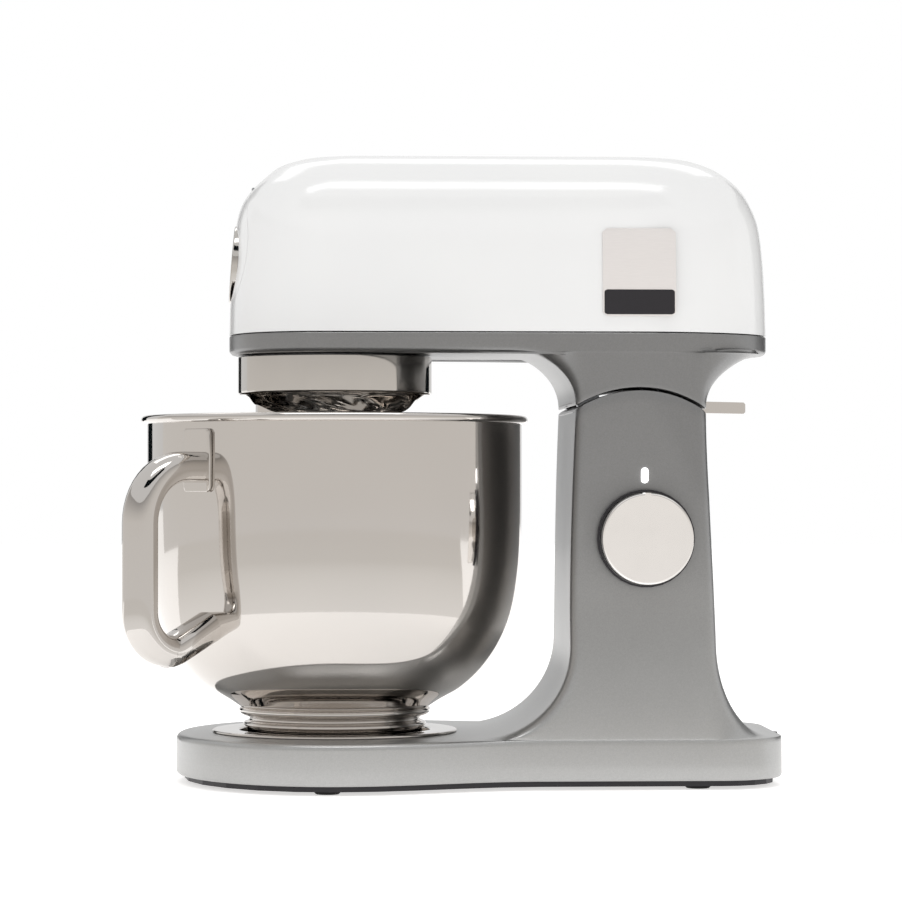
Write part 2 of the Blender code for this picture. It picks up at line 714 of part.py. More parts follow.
def bar_mesh(points, radius, sides=12):
    """A round bar along a run of points, with flat ends."""
    bm = bmesh.new()
    rings = []
    side = Vector((0.0, 1.0, 0.0))
    for i, point in enumerate(points):
        ahead = points[min(i + 1, len(points) - 1)]
        behind = points[max(i - 1, 0)]
        along = (ahead - behind).normalized()
        across = along.cross(side).normalized()
        rings.append([bm.verts.new(point + side * x + across * y) for x, y in circle(radius, sides)])
    for lower, upper in zip(rings, rings[1:]):
        join_rings(bm, lower, upper)
    bm.faces.new(rings[0])
    bm.faces.new(rings[-1])
    return bm


def bowl_handle(pivot):
    wall_top = BOWL_RADIUS
    path = [(wall_top + 3.0 * MM, 0.0, HANDLE_TOP_Z), (HANDLE_REACH, 0.0, HANDLE_TOP_Z),
            (HANDLE_REACH, 0.0, HANDLE_LOW_Z), (HANDLE_REACH - 22.0 * MM, 0.0, HANDLE_LOW_Z),
            (bowl_radius_at(HANDLE_FOOT_Z) + 1.9 * MM, 0.0, HANDLE_FOOT_Z)]
    run = smooth_run(path, (28.0 * MM, 20.0 * MM, 16.0 * MM))
    turn = Matrix.Rotation(HANDLE_ANGLE, 4, "Z")
    bm = bar_mesh(run, HANDLE_BAR)
    bmesh.ops.transform(bm, matrix=turn, verts=bm.verts)
    add_object("bowl_handle", bm, "polished_steel", parent=pivot)
    span = 10.0 * MM / wall_top
    plate = arc_block(wall_top + GAP, wall_top + 2.4 * MM, 164.0 * MM, 195.5 * MM,
                      HANDLE_ANGLE - span, 2 * span, 4)
    add_object("handle_plate", plate, "polished_steel", parent=pivot)


def hinge_inside_stand():
    """The steel saddle and pin that the head tilts on."""
    low_x = NECK_FRONT + CASTING_WALL + 3.5 * MM
    high_x = NECK_REAR - CASTING_WALL - 3.5 * MM
    floor = 112.0 * MM
    inner, outer = 45.0 * MM, 48.5 * MM
    bm = extrude_outline(bmesh.new(), [
        (-outer, floor), (outer, floor), (outer, 176.0 * MM), (inner, 176.0 * MM),
        (inner, floor + 3.5 * MM), (-inner, floor + 3.5 * MM), (-inner, 176.0 * MM),
        (-outer, 176.0 * MM)], low_x, high_x)
    turn = Matrix(((0, 0, 1, 0), (1, 0, 0, 0), (0, 1, 0, 0), (0, 0, 0, 1)))
    bmesh.ops.transform(bm, matrix=turn, verts=bm.verts)
    saddle = add_object("hinge_saddle", bm, "steel")
    cut_round(saddle, "cut_pin", SHAFT_RADIUS + GAP, -70.0 * MM, 70.0 * MM, "y",
              (PIVOT_X, 0.0, PIVOT_Z), 24)
    turned("hinge_pin", [(0.0, -51.0 * MM), (SHAFT_RADIUS, -51.0 * MM), (SHAFT_RADIUS, 51.0 * MM),
                         (0.0, 51.0 * MM)], "steel", "y", (PIVOT_X, 0.0, PIVOT_Z), 24)
    block("control_board", (142.0 * MM, -30.0 * MM, 92.0 * MM), (192.0 * MM, 30.0 * MM, 93.6 * MM),
          "board_green")


def controls():
    wall_y = -(NECK_HALF_WIDTH + 2.3 * MM)
    turned("knob_ring", [(KNOB_RING_RADIUS - 1.0 * MM, 0.0), (KNOB_RING_RADIUS, 0.0),
                         (KNOB_RING_RADIUS, 3.6 * MM), (KNOB_RING_RADIUS - 1.0 * MM, 3.6 * MM)],
           "dark_plastic", "y", (KNOB_X, wall_y, KNOB_Z), 30)
    pivot = joint_empty("speed_turn", (KNOB_X, wall_y, KNOB_Z))
    r = KNOB_RADIUS
    turned("speed_knob", [(0.0, 2.2 * MM), (r - 0.6 * MM, 2.2 * MM), (r, 2.8 * MM),
                          (r, KNOB_DEPTH - 1.6 * MM), (r - 1.6 * MM, KNOB_DEPTH),
                          (r - 4.0 * MM, KNOB_DEPTH + 0.6 * MM), (0.0, KNOB_DEPTH + 0.6 * MM)],
           "polished_steel", "y", (KNOB_X, wall_y, KNOB_Z), 30, parent=pivot)
    turned("knob_shaft", [(0.0, -9.0 * MM), (3.0 * MM, -9.0 * MM), (3.0 * MM, 1.9 * MM),
                          (0.0, 1.9 * MM)],
           "steel", "y", (KNOB_X, wall_y, KNOB_Z), 16, parent=pivot)
    turned("speed_switch", [(3.0 * MM + GAP, -11.5 * MM), (12.0 * MM, -11.5 * MM),
                            (12.0 * MM, -5.6 * MM), (3.0 * MM + GAP, -5.6 * MM)],
           "dark_plastic", "y", (KNOB_X, wall_y, KNOB_Z), 24)
    outline = rounded_rectangle(2.05 * MM, 4.35 * MM, 0.8 * MM, 2, (LIGHT_X, LIGHT_Z))
    prism("indicator_lens", outline, NECK_HALF_WIDTH - 1.0 * MM, NECK_HALF_WIDTH + 4.4 * MM,
          "light_lens", "y")


# ================================================================ head
def head_casting(parent):
    sections = []
    crown = box_section(NECK_FRONT + 3.0 * MM, NECK_REAR - 2.0 * MM, HEAD_HALF_WIDTH - 0.3 * MM,
                        NECK_CORNER, NECK_CORNER, NECK_CORNER, NECK_CORNER)
    arc = arc_height(HEAD_ARC)
    for i in range(6):
        turn = math.pi / 2 * i / 5
        away = 1.0 - math.cos(turn)
        rise = math.sin(turn)
        front = NECK_FRONT + 3.0 * MM - 26.0 * MM * away
        rear = NECK_REAR - 2.0 * MM + 34.0 * MM * away
        corner = blend(NECK_CORNER, 30.0 * MM, away)
        section = box_section(front, rear, HEAD_HALF_WIDTH - 0.3 * MM * (1 - away),
                              corner, corner, blend(NECK_CORNER, 60.0 * MM, away),
                              blend(NECK_CORNER, 50.0 * MM, away))
        sections.append([(x, y, blend(arc(x), ARM_BOTTOM - 0.5 * MM, rise)) for x, y in section])
    sections[0] = lift(crown, arc)

    def arm(inward, z):
        return lift(oval_section(HEAD_FRONT + inward, HEAD_REAR - inward, HEAD_HALF_WIDTH - inward,
                                 HEAD_NOSE - inward, HEAD_TAIL - inward), z)

    sections.append(arm(1.6 * MM, ARM_BOTTOM))
    sections.append(arm(0.0, ARM_BOTTOM + 1.8 * MM))
    sections.append(arm(0.0, SEAM_Z - SEAM_GAP))
    outer = list(reversed(sections))
    inner = shifted_inside(outer, CASTING_WALL, CASTING_WALL,
                           arc_height(HEAD_ARC + CASTING_WALL))
    casting = add_object("head_casting", shell(outer, inner), "silver_paint", parent=parent)
    cut_round(casting, "cut_gearbox", 20.0 * MM, 200.0 * MM, 260.0 * MM)
    for side, name in ((-1, "cut_head_arm_right"), (1, "cut_head_arm_left")):
        low, high = sorted((side * (34.0 * MM - GAP), side * (42.0 * MM + GAP)))
        lean = PIVOT_X + (HEAD_ARC + 2.0 * MM) * math.sin(HINGE_ARM_LEAN)
        cut_block(casting, name, (lean - 10.5 * MM, low, 200.0 * MM),
                  (lean + 11.5 * MM, high, 236.0 * MM))
    cut_block(casting, "cut_lever", (188.0 * MM, -7.6 * MM, 195.0 * MM),
              (214.0 * MM, 7.6 * MM, 223.0 * MM))
    return casting


# The cover's side and front profile, level by level: share of its height, how far the
# front and the rear have come in (mm), and share of its half width.
COVER_LEVELS = [
    (0.000, 0.0, 0.0, 1.000), (0.183, 0.5, 0.5, 0.997), (0.381, 2.0, 1.5, 0.985),
    (0.540, 3.3, 3.1, 0.955), (0.640, 4.3, 5.1, 0.918), (0.734, 7.3, 9.0, 0.864),
    (0.813, 12.7, 14.1, 0.788), (0.883, 20.3, 21.5, 0.682), (0.943, 28.3, 31.5, 0.545),
    (0.983, 41.3, 43.5, 0.379), (1.000, 55.3, 55.5, 0.182)]


def cover_mesh():
    outer = []
    for rise, front_in, rear_in, share in COVER_LEVELS:
        nose = HEAD_NOSE * (0.35 + 0.65 * share)
        tail = HEAD_TAIL * (0.25 + 0.75 * share)
        section = oval_section(HEAD_FRONT + front_in * MM, HEAD_REAR - rear_in * MM,
                               HEAD_HALF_WIDTH * share, nose, tail)
        outer.append(lift(section, blend(SEAM_Z, HEAD_TOP, rise)))
    inner = shifted_inside(outer, COVER_WALL, -COVER_WALL, HEAD_TOP - COVER_WALL)
    return shell(outer, inner)


def cover_side(z):
    """Half width of the head's cover at a height."""
    rise = (z - SEAM_Z) / (HEAD_TOP - SEAM_Z)
    for low, high in zip(COVER_LEVELS, COVER_LEVELS[1:]):
        if rise <= high[0]:
            share = blend(low[3], high[3], (rise - low[0]) / (high[0] - low[0]))
            return share * HEAD_HALF_WIDTH
    return COVER_LEVELS[-1][3] * HEAD_HALF_WIDTH


def head_cover(parent):
    """The white shell: upright sides that roll over into a nearly flat top."""
    cover = add_object("head_cover", cover_mesh(), "white_enamel", parent=parent)
    cut_round(cover, "cut_outlet", OUTLET_RADIUS + SEAM_GAP, -80.0 * MM, -20.0 * MM, "x",
              (0.0, 0.0, OUTLET_Z), 40)
    cut_round(cover, "cut_cover_pin", OUTLET_PIN + GAP, -9.0 * MM, 9.0 * MM, "y",
              (OUTLET_HINGE_X, 0.0, OUTLET_HINGE_Z), 16)
    return cover


OUTLET_PIN = 1.2 * MM
OUTLET_HINGE_X = -45.6 * MM
OUTLET_HINGE_Z = OUTLET_Z + OUTLET_RADIUS + 0.8 * MM


DISC_RADIUS = 22.0 * MM
DISC_DEPTH = 3.4 * MM
DISC_Z = 289.6 * MM
DISC_FACE_X = -57.7 * MM
DISC_LEAN = math.radians(4.6)    # the disc leans back with the nose


def outlet_parts(head):
    """The drive outlet in the head's nose, under a door hinged at its top."""
    pivot = joint_empty("outlet_door", (OUTLET_HINGE_X, 0.0, OUTLET_HINGE_Z))
    pivot.parent = head
    pivot.matrix_parent_inverse = Matrix.Translation(-head.location)
    door = add_object("outlet_cover", cover_mesh(), "white_enamel", parent=pivot)
    top = OUTLET_HINGE_Z - OUTLET_PIN - GAP - OUTLET_Z
    outline = [(max(x, -top), y) for x, y in circle(OUTLET_RADIUS, 40)]
    window = [(OUTLET_Z - DISC_Z + x, y) for x, y in circle(DISC_RADIUS + 2 * GAP, 32)]
    nose = extrude_outline(bmesh.new(), outline, -80.0 * MM, -20.0 * MM, [window])
    bmesh.ops.transform(nose, matrix=place_matrix("x", (0.0, 0.0, OUTLET_Z)), verts=nose.verts)
    cut(door, hidden_cutter(nose, "keep_nose"), "INTERSECT")
    turned("outlet_hinge_pin", [(0.0, -8.5 * MM), (OUTLET_PIN, -8.5 * MM), (OUTLET_PIN, 8.5 * MM),
                                (0.0, 8.5 * MM)],
           "steel", "y", (OUTLET_HINGE_X, 0.0, OUTLET_HINGE_Z), 12, parent=head)
    disc = turned_mesh([(0.0, 0.0), (DISC_RADIUS - 1.0 * MM, 0.2 * MM), (DISC_RADIUS, 0.8 * MM),
                        (DISC_RADIUS, DISC_DEPTH), (0.0, DISC_DEPTH)], 32)
    place = place_matrix("x", (DISC_FACE_X, 0.0, DISC_Z)) @ Matrix.Rotation(DISC_LEAN, 4, "Y")
    bmesh.ops.transform(disc, matrix=place, verts=disc.verts)
    add_object("outlet_cover_disc", disc, "polished_steel", parent=pivot)
    turned("outlet_housing", [(SHAFT_RADIUS + GAP, -46.0 * MM), (21.0 * MM, -46.0 * MM),
                              (21.0 * MM, -36.0 * MM), (SHAFT_RADIUS + GAP, -36.0 * MM)],
           "aluminium", "x", (0.0, 0.0, OUTLET_Z), parent=head)


def badge(head):
    """A plain two-tone plate that follows the cover's side."""
    low, high, middle, half = 257.9 * MM, 306.2 * MM, 165.5 * MM, 20.1 * MM
    ease = 1.6 * MM
    levels = [(low, half - ease), (low + ease, half)]
    folds = [blend(SEAM_Z, HEAD_TOP, level[0]) for level in COVER_LEVELS]
    levels += [(z, half) for z in folds if low + ease < z < high - ease]
    levels += [(high - ease, half), (high, half - ease)]
    bm = bmesh.new()
    rings = []
    for z, reach in levels:
        inner = -(cover_side(z) + GAP)
        outer = inner - 1.0 * MM
        rings.append([bm.verts.new(p) for p in (
            (middle - reach, inner, z), (middle + reach, inner, z),
            (middle + reach, outer, z), (middle - reach, outer, z))])
    for lower, upper in zip(rings, rings[1:]):
        join_rings(bm, lower, upper)
    bm.faces.new(rings[0])
    bm.faces.new(rings[-1])
    add_object("badge", bm, "steel", parent=head)


def lever_parts(head):
    """The release lever at the back of the head's neck, on its own pin."""
    pivot = joint_empty("lever_turn", (LEVER_PIVOT_X, 0.0, LEVER_PIVOT_Z))
    pivot.parent = head
    pivot.matrix_parent_inverse = Matrix.Translation(-head.location)
    side = [(LEVER_PIVOT_X - 4.0 * MM, LEVER_PIVOT_Z - 1.0 * MM),
            (LEVER_PIVOT_X, LEVER_PIVOT_Z - 3.6 * MM),
            (203.0 * MM, 208.0 * MM), (207.0 * MM, 206.4 * MM), (LEVER_TIP - 1.0 * MM, 206.0 * MM),
            (LEVER_TIP, 207.0 * MM), (LEVER_TIP, 211.4 * MM), (LEVER_TIP - 1.0 * MM, 212.4 * MM),
            (208.0 * MM, 212.9 * MM), (204.0 * MM, 214.4 * MM),
            (LEVER_PIVOT_X + 3.0 * MM, LEVER_PIVOT_Z + 3.4 * MM),
            (LEVER_PIVOT_X - 3.0 * MM, LEVER_PIVOT_Z + 3.4 * MM)]
    hole = [(LEVER_PIVOT_X + x, LEVER_PIVOT_Z + z) for x, z in circle(1.5 * MM + GAP, 16)]
    prism("release_lever", side, -7.0 * MM, 7.0 * MM, "polished_steel", "y", holes=[hole], parent=pivot)
    turned("lever_pin", [(0.0, -13.0 * MM), (1.5 * MM, -13.0 * MM), (1.5 * MM, 13.0 * MM),
                         (0.0, 13.0 * MM)],
           "steel", "y", (LEVER_PIVOT_X, 0.0, LEVER_PIVOT_Z), 16, parent=head)


def hinge_arms(head):
    """Two leaning arms that reach down to the tilt pin, each with an eye round it."""
    up = Vector((math.sin(HINGE_ARM_LEAN), math.cos(HINGE_ARM_LEAN)))
    across = Vector((up.y, -up.x))
    centre = Vector((PIVOT_X, PIVOT_Z))
    eye = 12.0 * MM
    reach = HEAD_ARC + CASTING_WALL + 4.0 * MM
    for side, name in ((-1, "right"), (1, "left")):
        outline = []
        for i in range(13):
            turn = math.pi * i / 12
            around = across * math.cos(turn) - up * math.sin(turn)
            outline.append(tuple(centre + around * eye))
        outline += [tuple(centre - across * HINGE_ARM_HALF + up * 22.0 * MM),
                    tuple(centre - across * HINGE_ARM_HALF + up * reach),
                    tuple(centre + across * HINGE_ARM_HALF + up * reach),
                    tuple(centre + across * HINGE_ARM_HALF + up * 22.0 * MM)]
        hole = [(PIVOT_X + x, PIVOT_Z + z) for x, z in circle(SHAFT_RADIUS + GAP, 20)]
        low, high = sorted((side * 34.0 * MM, side * 42.0 * MM))
        prism("hinge_arm_" + name, outline, -high, -low, "steel", "y", holes=[hole], parent=head)


# ================================================================ gearbox and motor
def ring(name, inner, outer, low, high, finish_name, x, count=24, **more):
    turned(name, [(inner, low), (outer, low), (outer, high), (inner, high)], finish_name,
           at=(x, 0.0, 0.0), count=count, **more)


def rod(name, radius, low, high, finish_name, x, count=20, **more):
    turned(name, [(0.0, low), (radius, low), (radius, high), (0.0, high)], finish_name,
           at=(x, 0.0, 0.0), count=count, **more)


def bridge(name, outline, holes, low, high, posts, foot, finish_name, parent):
    """A bearing plate on posts, in one casting."""
    plate = prism(name, outline, low, high, finish_name, holes=holes, parent=parent)
    for i, (x, y) in enumerate(posts):
        post = extrude_outline(bmesh.new(), [(x + px, y + py) for px, py in circle(3.5 * MM, 12)],
                               foot, low + 1.0 * MM)
        cut(plate, hidden_cutter(post, "%s_post_%d" % (name, i)), "UNION")
    return plate


def hole_at(x, y, radius, count=24):
    return [(x + px, y + py) for px, py in circle(radius, count)]


def gearbox(head):
    floor = ARM_BOTTOM + CASTING_WALL + 2 * GAP
    plate_top = floor + 5.0 * MM
    main_bearing, top_bearing = 11.0 * MM, 9.0 * MM
    outline = rounded_rectangle(52.0 * MM, 50.0 * MM, 18.0 * MM, 4, (30.0 * MM, 0.0))
    prism("gearbox_plate", outline, floor, plate_top, "aluminium",
          holes=[hole_at(0.0, 0.0, main_bearing + GAP), hole_at(LAY_OFFSET, 0.0, LAY_SHAFT + GAP, 20)],
          parent=head)
    bridge_low, bridge_high = MAIN_GEAR_TOP + 3.0 * MM, MAIN_GEAR_TOP + 7.0 * MM
    posts = [(sx, sy) for sx, reach in ((-6.0 * MM, 54.6 * MM), (86.6 * MM, 40.0 * MM))
             for sy in (-reach, reach)]
    outline = rounded_rectangle(52.0 * MM, 58.8 * MM, 20.0 * MM, 4, (39.5 * MM, 0.0))
    bridge("gearbox_bridge", outline,
           [hole_at(0.0, 0.0, top_bearing + GAP), hole_at(LAY_OFFSET, 0.0, LAY_SHAFT + GAP, 20)],
           bridge_low, bridge_high, posts, floor, "aluminium", head)
    for name, x, radius, low, high in (
            ("main_bearing_lower", 0.0, main_bearing, floor, floor + 8.0 * MM),
            ("main_bearing_upper", 0.0, top_bearing, bridge_low, bridge_high)):
        ring(name, SHAFT_RADIUS + GAP, radius, low, high, "bronze", x, 20, parent=head)

    inner = gear_outline(RING_TEETH, PLANET_MODULE, 0.5 * MM, internal=True)
    prism("ring_gear", circle(RING_OUTER, RING_TEETH), PLANET_GEAR_BOTTOM - 0.5 * MM, DRUM_TOP + 0.3 * MM,
          "steel", holes=[inner], parent=head)


def planetary(head):
    pivot = joint_empty("planet_turn", (0.0, 0.0, DRUM_BOTTOM))
    pivot.parent = head
    pivot.matrix_parent_inverse = Matrix.Translation(-head.location)
    r = DRUM_RADIUS
    floor = DRUM_BOTTOM + 3.4 * MM
    profile = [(SHAFT_RADIUS + GAP, CONE_BOTTOM), (CONE_RADIUS - 2.0 * MM, CONE_BOTTOM),
               (CONE_RADIUS + 2.0 * MM, CONE_BOTTOM + 1.6 * MM), (50.0 * MM, DRUM_BOTTOM - 1.0 * MM),
               (r - 0.8 * MM, DRUM_BOTTOM - 0.2 * MM), (r, DRUM_BOTTOM + 1.0 * MM), (r, DRUM_TOP),
               (r - DRUM_WALL, DRUM_TOP), (r - DRUM_WALL, floor), (SHAFT_RADIUS + GAP, floor)]
    drum = turned("planet_drum", profile, "polished_steel", count=36, parent=pivot)
    socket = turned_mesh([(0.0, CONE_BOTTOM - 5.0 * MM), (TOOL_COLLAR + GAP, CONE_BOTTOM - 5.0 * MM),
                          (TOOL_COLLAR + GAP, TOOL_COLLAR_TOP + GAP),
                          (TOOL_BUSH + GAP, TOOL_COLLAR_TOP + GAP),
                          (TOOL_BUSH + GAP, floor + 5.0 * MM), (0.0, floor + 5.0 * MM)], 26)
    bmesh.ops.translate(socket, verts=socket.verts, vec=(-TOOL_OFFSET, 0.0, 0.0))
    cut(drum, hidden_cutter(socket, "cut_socket"))
    ring("tool_bush", TOOL_SPINDLE + GAP, TOOL_BUSH, TOOL_COLLAR_TOP + GAP, floor + 1.5 * MM, "bronze",
         -TOOL_OFFSET, 24, parent=pivot)
    rod("main_shaft", SHAFT_RADIUS, CONE_BOTTOM + 1.0 * MM, CROWN_FACE + 2.0 * MM, "steel", 0.0,
        parent=pivot)
    bore = [hole_at(0.0, 0.0, SHAFT_RADIUS + GAP, 20)]
    prism("main_gear", gear_outline(MAIN_TEETH, DRIVE_MODULE, 0.4 * MM), MAIN_GEAR_BOTTOM,
          MAIN_GEAR_TOP, "gear_plastic", holes=bore, parent=pivot)
    crown_gear(pivot)
    tool(pivot)
    return pivot


TOOL_SPINDLE = 6.0 * MM
TOOL_BUSH = 9.0 * MM
TOOL_COLLAR = 14.6 * MM
TOOL_COLLAR_TOP = 214.0 * MM
BEATER_WIDE_Z = 66.0 * MM
BEATER_CLEARANCE = 10.5 * MM
BEATER_HALF_THICK = 3.5 * MM
OUTLET_PITCH = CROWN_MODULE * OUTLET_TEETH / 2
CROWN_FACE = OUTLET_Z - OUTLET_PITCH - 1.05 * CROWN_MODULE
CROWN_FACE_WIDTH = 7.0 * MM
CROWN_BACKLASH = 0.7 * MM
CROWN_ADDENDUM = 0.6             # tooth height above the pitch line, in modules


def crown_gear(parent):
    """A disc with radial teeth on its upper face."""
    half = CROWN_FACE_WIDTH / 2
    low = CROWN_FACE - 5.0 * MM
    tip = OUTLET_Z - OUTLET_PITCH + CROWN_ADDENDUM * CROWN_MODULE
    bm = bmesh.new()
    inner_r, outer_r = CROWN_PITCH - half, CROWN_PITCH + half
    step = 2 * math.pi / CROWN_TEETH
    pitch_width = math.pi * CROWN_MODULE / 2 - CROWN_BACKLASH
    lean = math.tan(math.radians(20.0))
    root_half = pitch_width / 2 + lean * 1.05 * CROWN_MODULE
    tip_half = pitch_width / 2 - lean * CROWN_ADDENDUM * CROWN_MODULE

    def corners(radius, half_width, z, turn):
        return [bm.verts.new((radius * math.cos(turn) - side * half_width * math.sin(turn),
                              radius * math.sin(turn) + side * half_width * math.cos(turn), z))
                for side in (-1, 1)]

    roots_in, roots_out = [], []
    for i in range(CROWN_TEETH):
        turn = step * i
        root_in = corners(inner_r, root_half, CROWN_FACE, turn)
        root_out = corners(outer_r, root_half, CROWN_FACE, turn)
        tip_in = corners(inner_r, tip_half, tip, turn)
        tip_out = corners(outer_r, tip_half, tip, turn)
        roots_in += root_in
        roots_out += root_out
        bm.faces.new((tip_in[0], tip_out[0], tip_out[1], tip_in[1]))
        bm.faces.new((root_in[0], root_out[0], tip_out[0], tip_in[0]))
        bm.faces.new((root_in[1], tip_in[1], tip_out[1], root_out[1]))
        bm.faces.new((root_in[0], tip_in[0], tip_in[1], root_in[1]))
        bm.faces.new((root_out[0], root_out[1], tip_out[1], tip_out[0]))
    count = len(roots_in)
    bore = [bm.verts.new((x, y, CROWN_FACE)) for x, y in circle(SHAFT_RADIUS + GAP, count)]
    bore_low = [bm.verts.new((x, y, low)) for x, y in circle(SHAFT_RADIUS + GAP, count)]
    rim_low = [bm.verts.new((v.co.x, v.co.y, low)) for v in roots_out]
    for i in range(count):
        j = (i + 1) % count
        if i % 2:
            bm.faces.new((roots_in[i], roots_out[i], roots_out[j], roots_in[j]))
        bm.faces.new((bore[i], roots_in[i], roots_in[j], bore[j]))
        bm.faces.new((roots_out[i], rim_low[i], rim_low[j], roots_out[j]))
        bm.faces.new((bore_low[i], bore_low[j], rim_low[j], rim_low[i]))
        bm.faces.new((bore[i], bore[j], bore_low[j], bore_low[i]))
    add_object("crown_gear", bm, "gear_plastic", parent=parent)


def tool(carrier):
    """The tool spindle: planet pinion, spindle, collar and a flat beater."""
    x = -TOOL_OFFSET
    pivot = joint_empty("tool_turn", (x, 0.0, DRUM_BOTTOM))
    pivot.parent = carrier
    pivot.matrix_parent_inverse = Matrix.Translation(-Vector((0.0, 0.0, DRUM_BOTTOM)))
    spindle = TOOL_SPINDLE
    rod("tool_spindle", spindle, TOOL_COLLAR_TOP - 8.0 * MM, PLANET_GEAR_TOP + 1.0 * MM, "steel", x,
        parent=pivot)
    teeth = gear_outline(PLANET_TEETH, PLANET_MODULE, 0.5 * MM)
    teeth = turn_outline(teeth, gap_towards_mate(PLANET_TEETH), (x, 0.0))
    prism("planet_pinion", teeth, PLANET_GEAR_BOTTOM, PLANET_GEAR_TOP, "steel",
          holes=[hole_at(x, 0.0, spindle + GAP, 20)], parent=pivot)
    turned("tool_collar", [(spindle + GAP, 196.0 * MM), (TOOL_COLLAR - 1.0 * MM, 196.0 * MM),
                           (TOOL_COLLAR, 197.0 * MM), (TOOL_COLLAR, TOOL_COLLAR_TOP - 1.0 * MM),
                           (TOOL_COLLAR - 1.0 * MM, TOOL_COLLAR_TOP), (spindle + GAP, TOOL_COLLAR_TOP)],
           "polished_steel", at=(x, 0.0, 0.0), count=28, parent=pivot)
    stem = 4.6 * MM
    wide = bowl_radius_at(BEATER_WIDE_Z) - BOWL_WALL - TOOL_OFFSET - BEATER_CLEARANCE
    low, high = BOWL_FLOOR + 8.5 * MM, TOOL_COLLAR_TOP - 10.0 * MM
    right_side = [(0.23, 0.0), (0.65, 0.044), (0.98, 0.124), (1.0, 0.314), (0.84, 0.543),
                  (0.33, 0.771)]
    right = [(wide * px, blend(low, high, pz)) for px, pz in right_side]
    right += [(stem, blend(low, high, 0.822)), (stem, high)]
    outline = [(x - px, pz) for px, pz in reversed(right)] + [(x + px, pz) for px, pz in right]
    gap_side = [(0.08, 0.72), (0.26, 0.72), (0.70, 0.524), (0.85, 0.314), (0.84, 0.143), (0.08, 0.054)]
    gap = [(wide * px, blend(low, high, pz)) for px, pz in gap_side]
    holes = [[(x + side * px, pz) for px, pz in gap] for side in (-1, 1)]
    prism("beater", outline, -BEATER_HALF_THICK, BEATER_HALF_THICK, "aluminium", "y",
          holes=holes, parent=pivot)


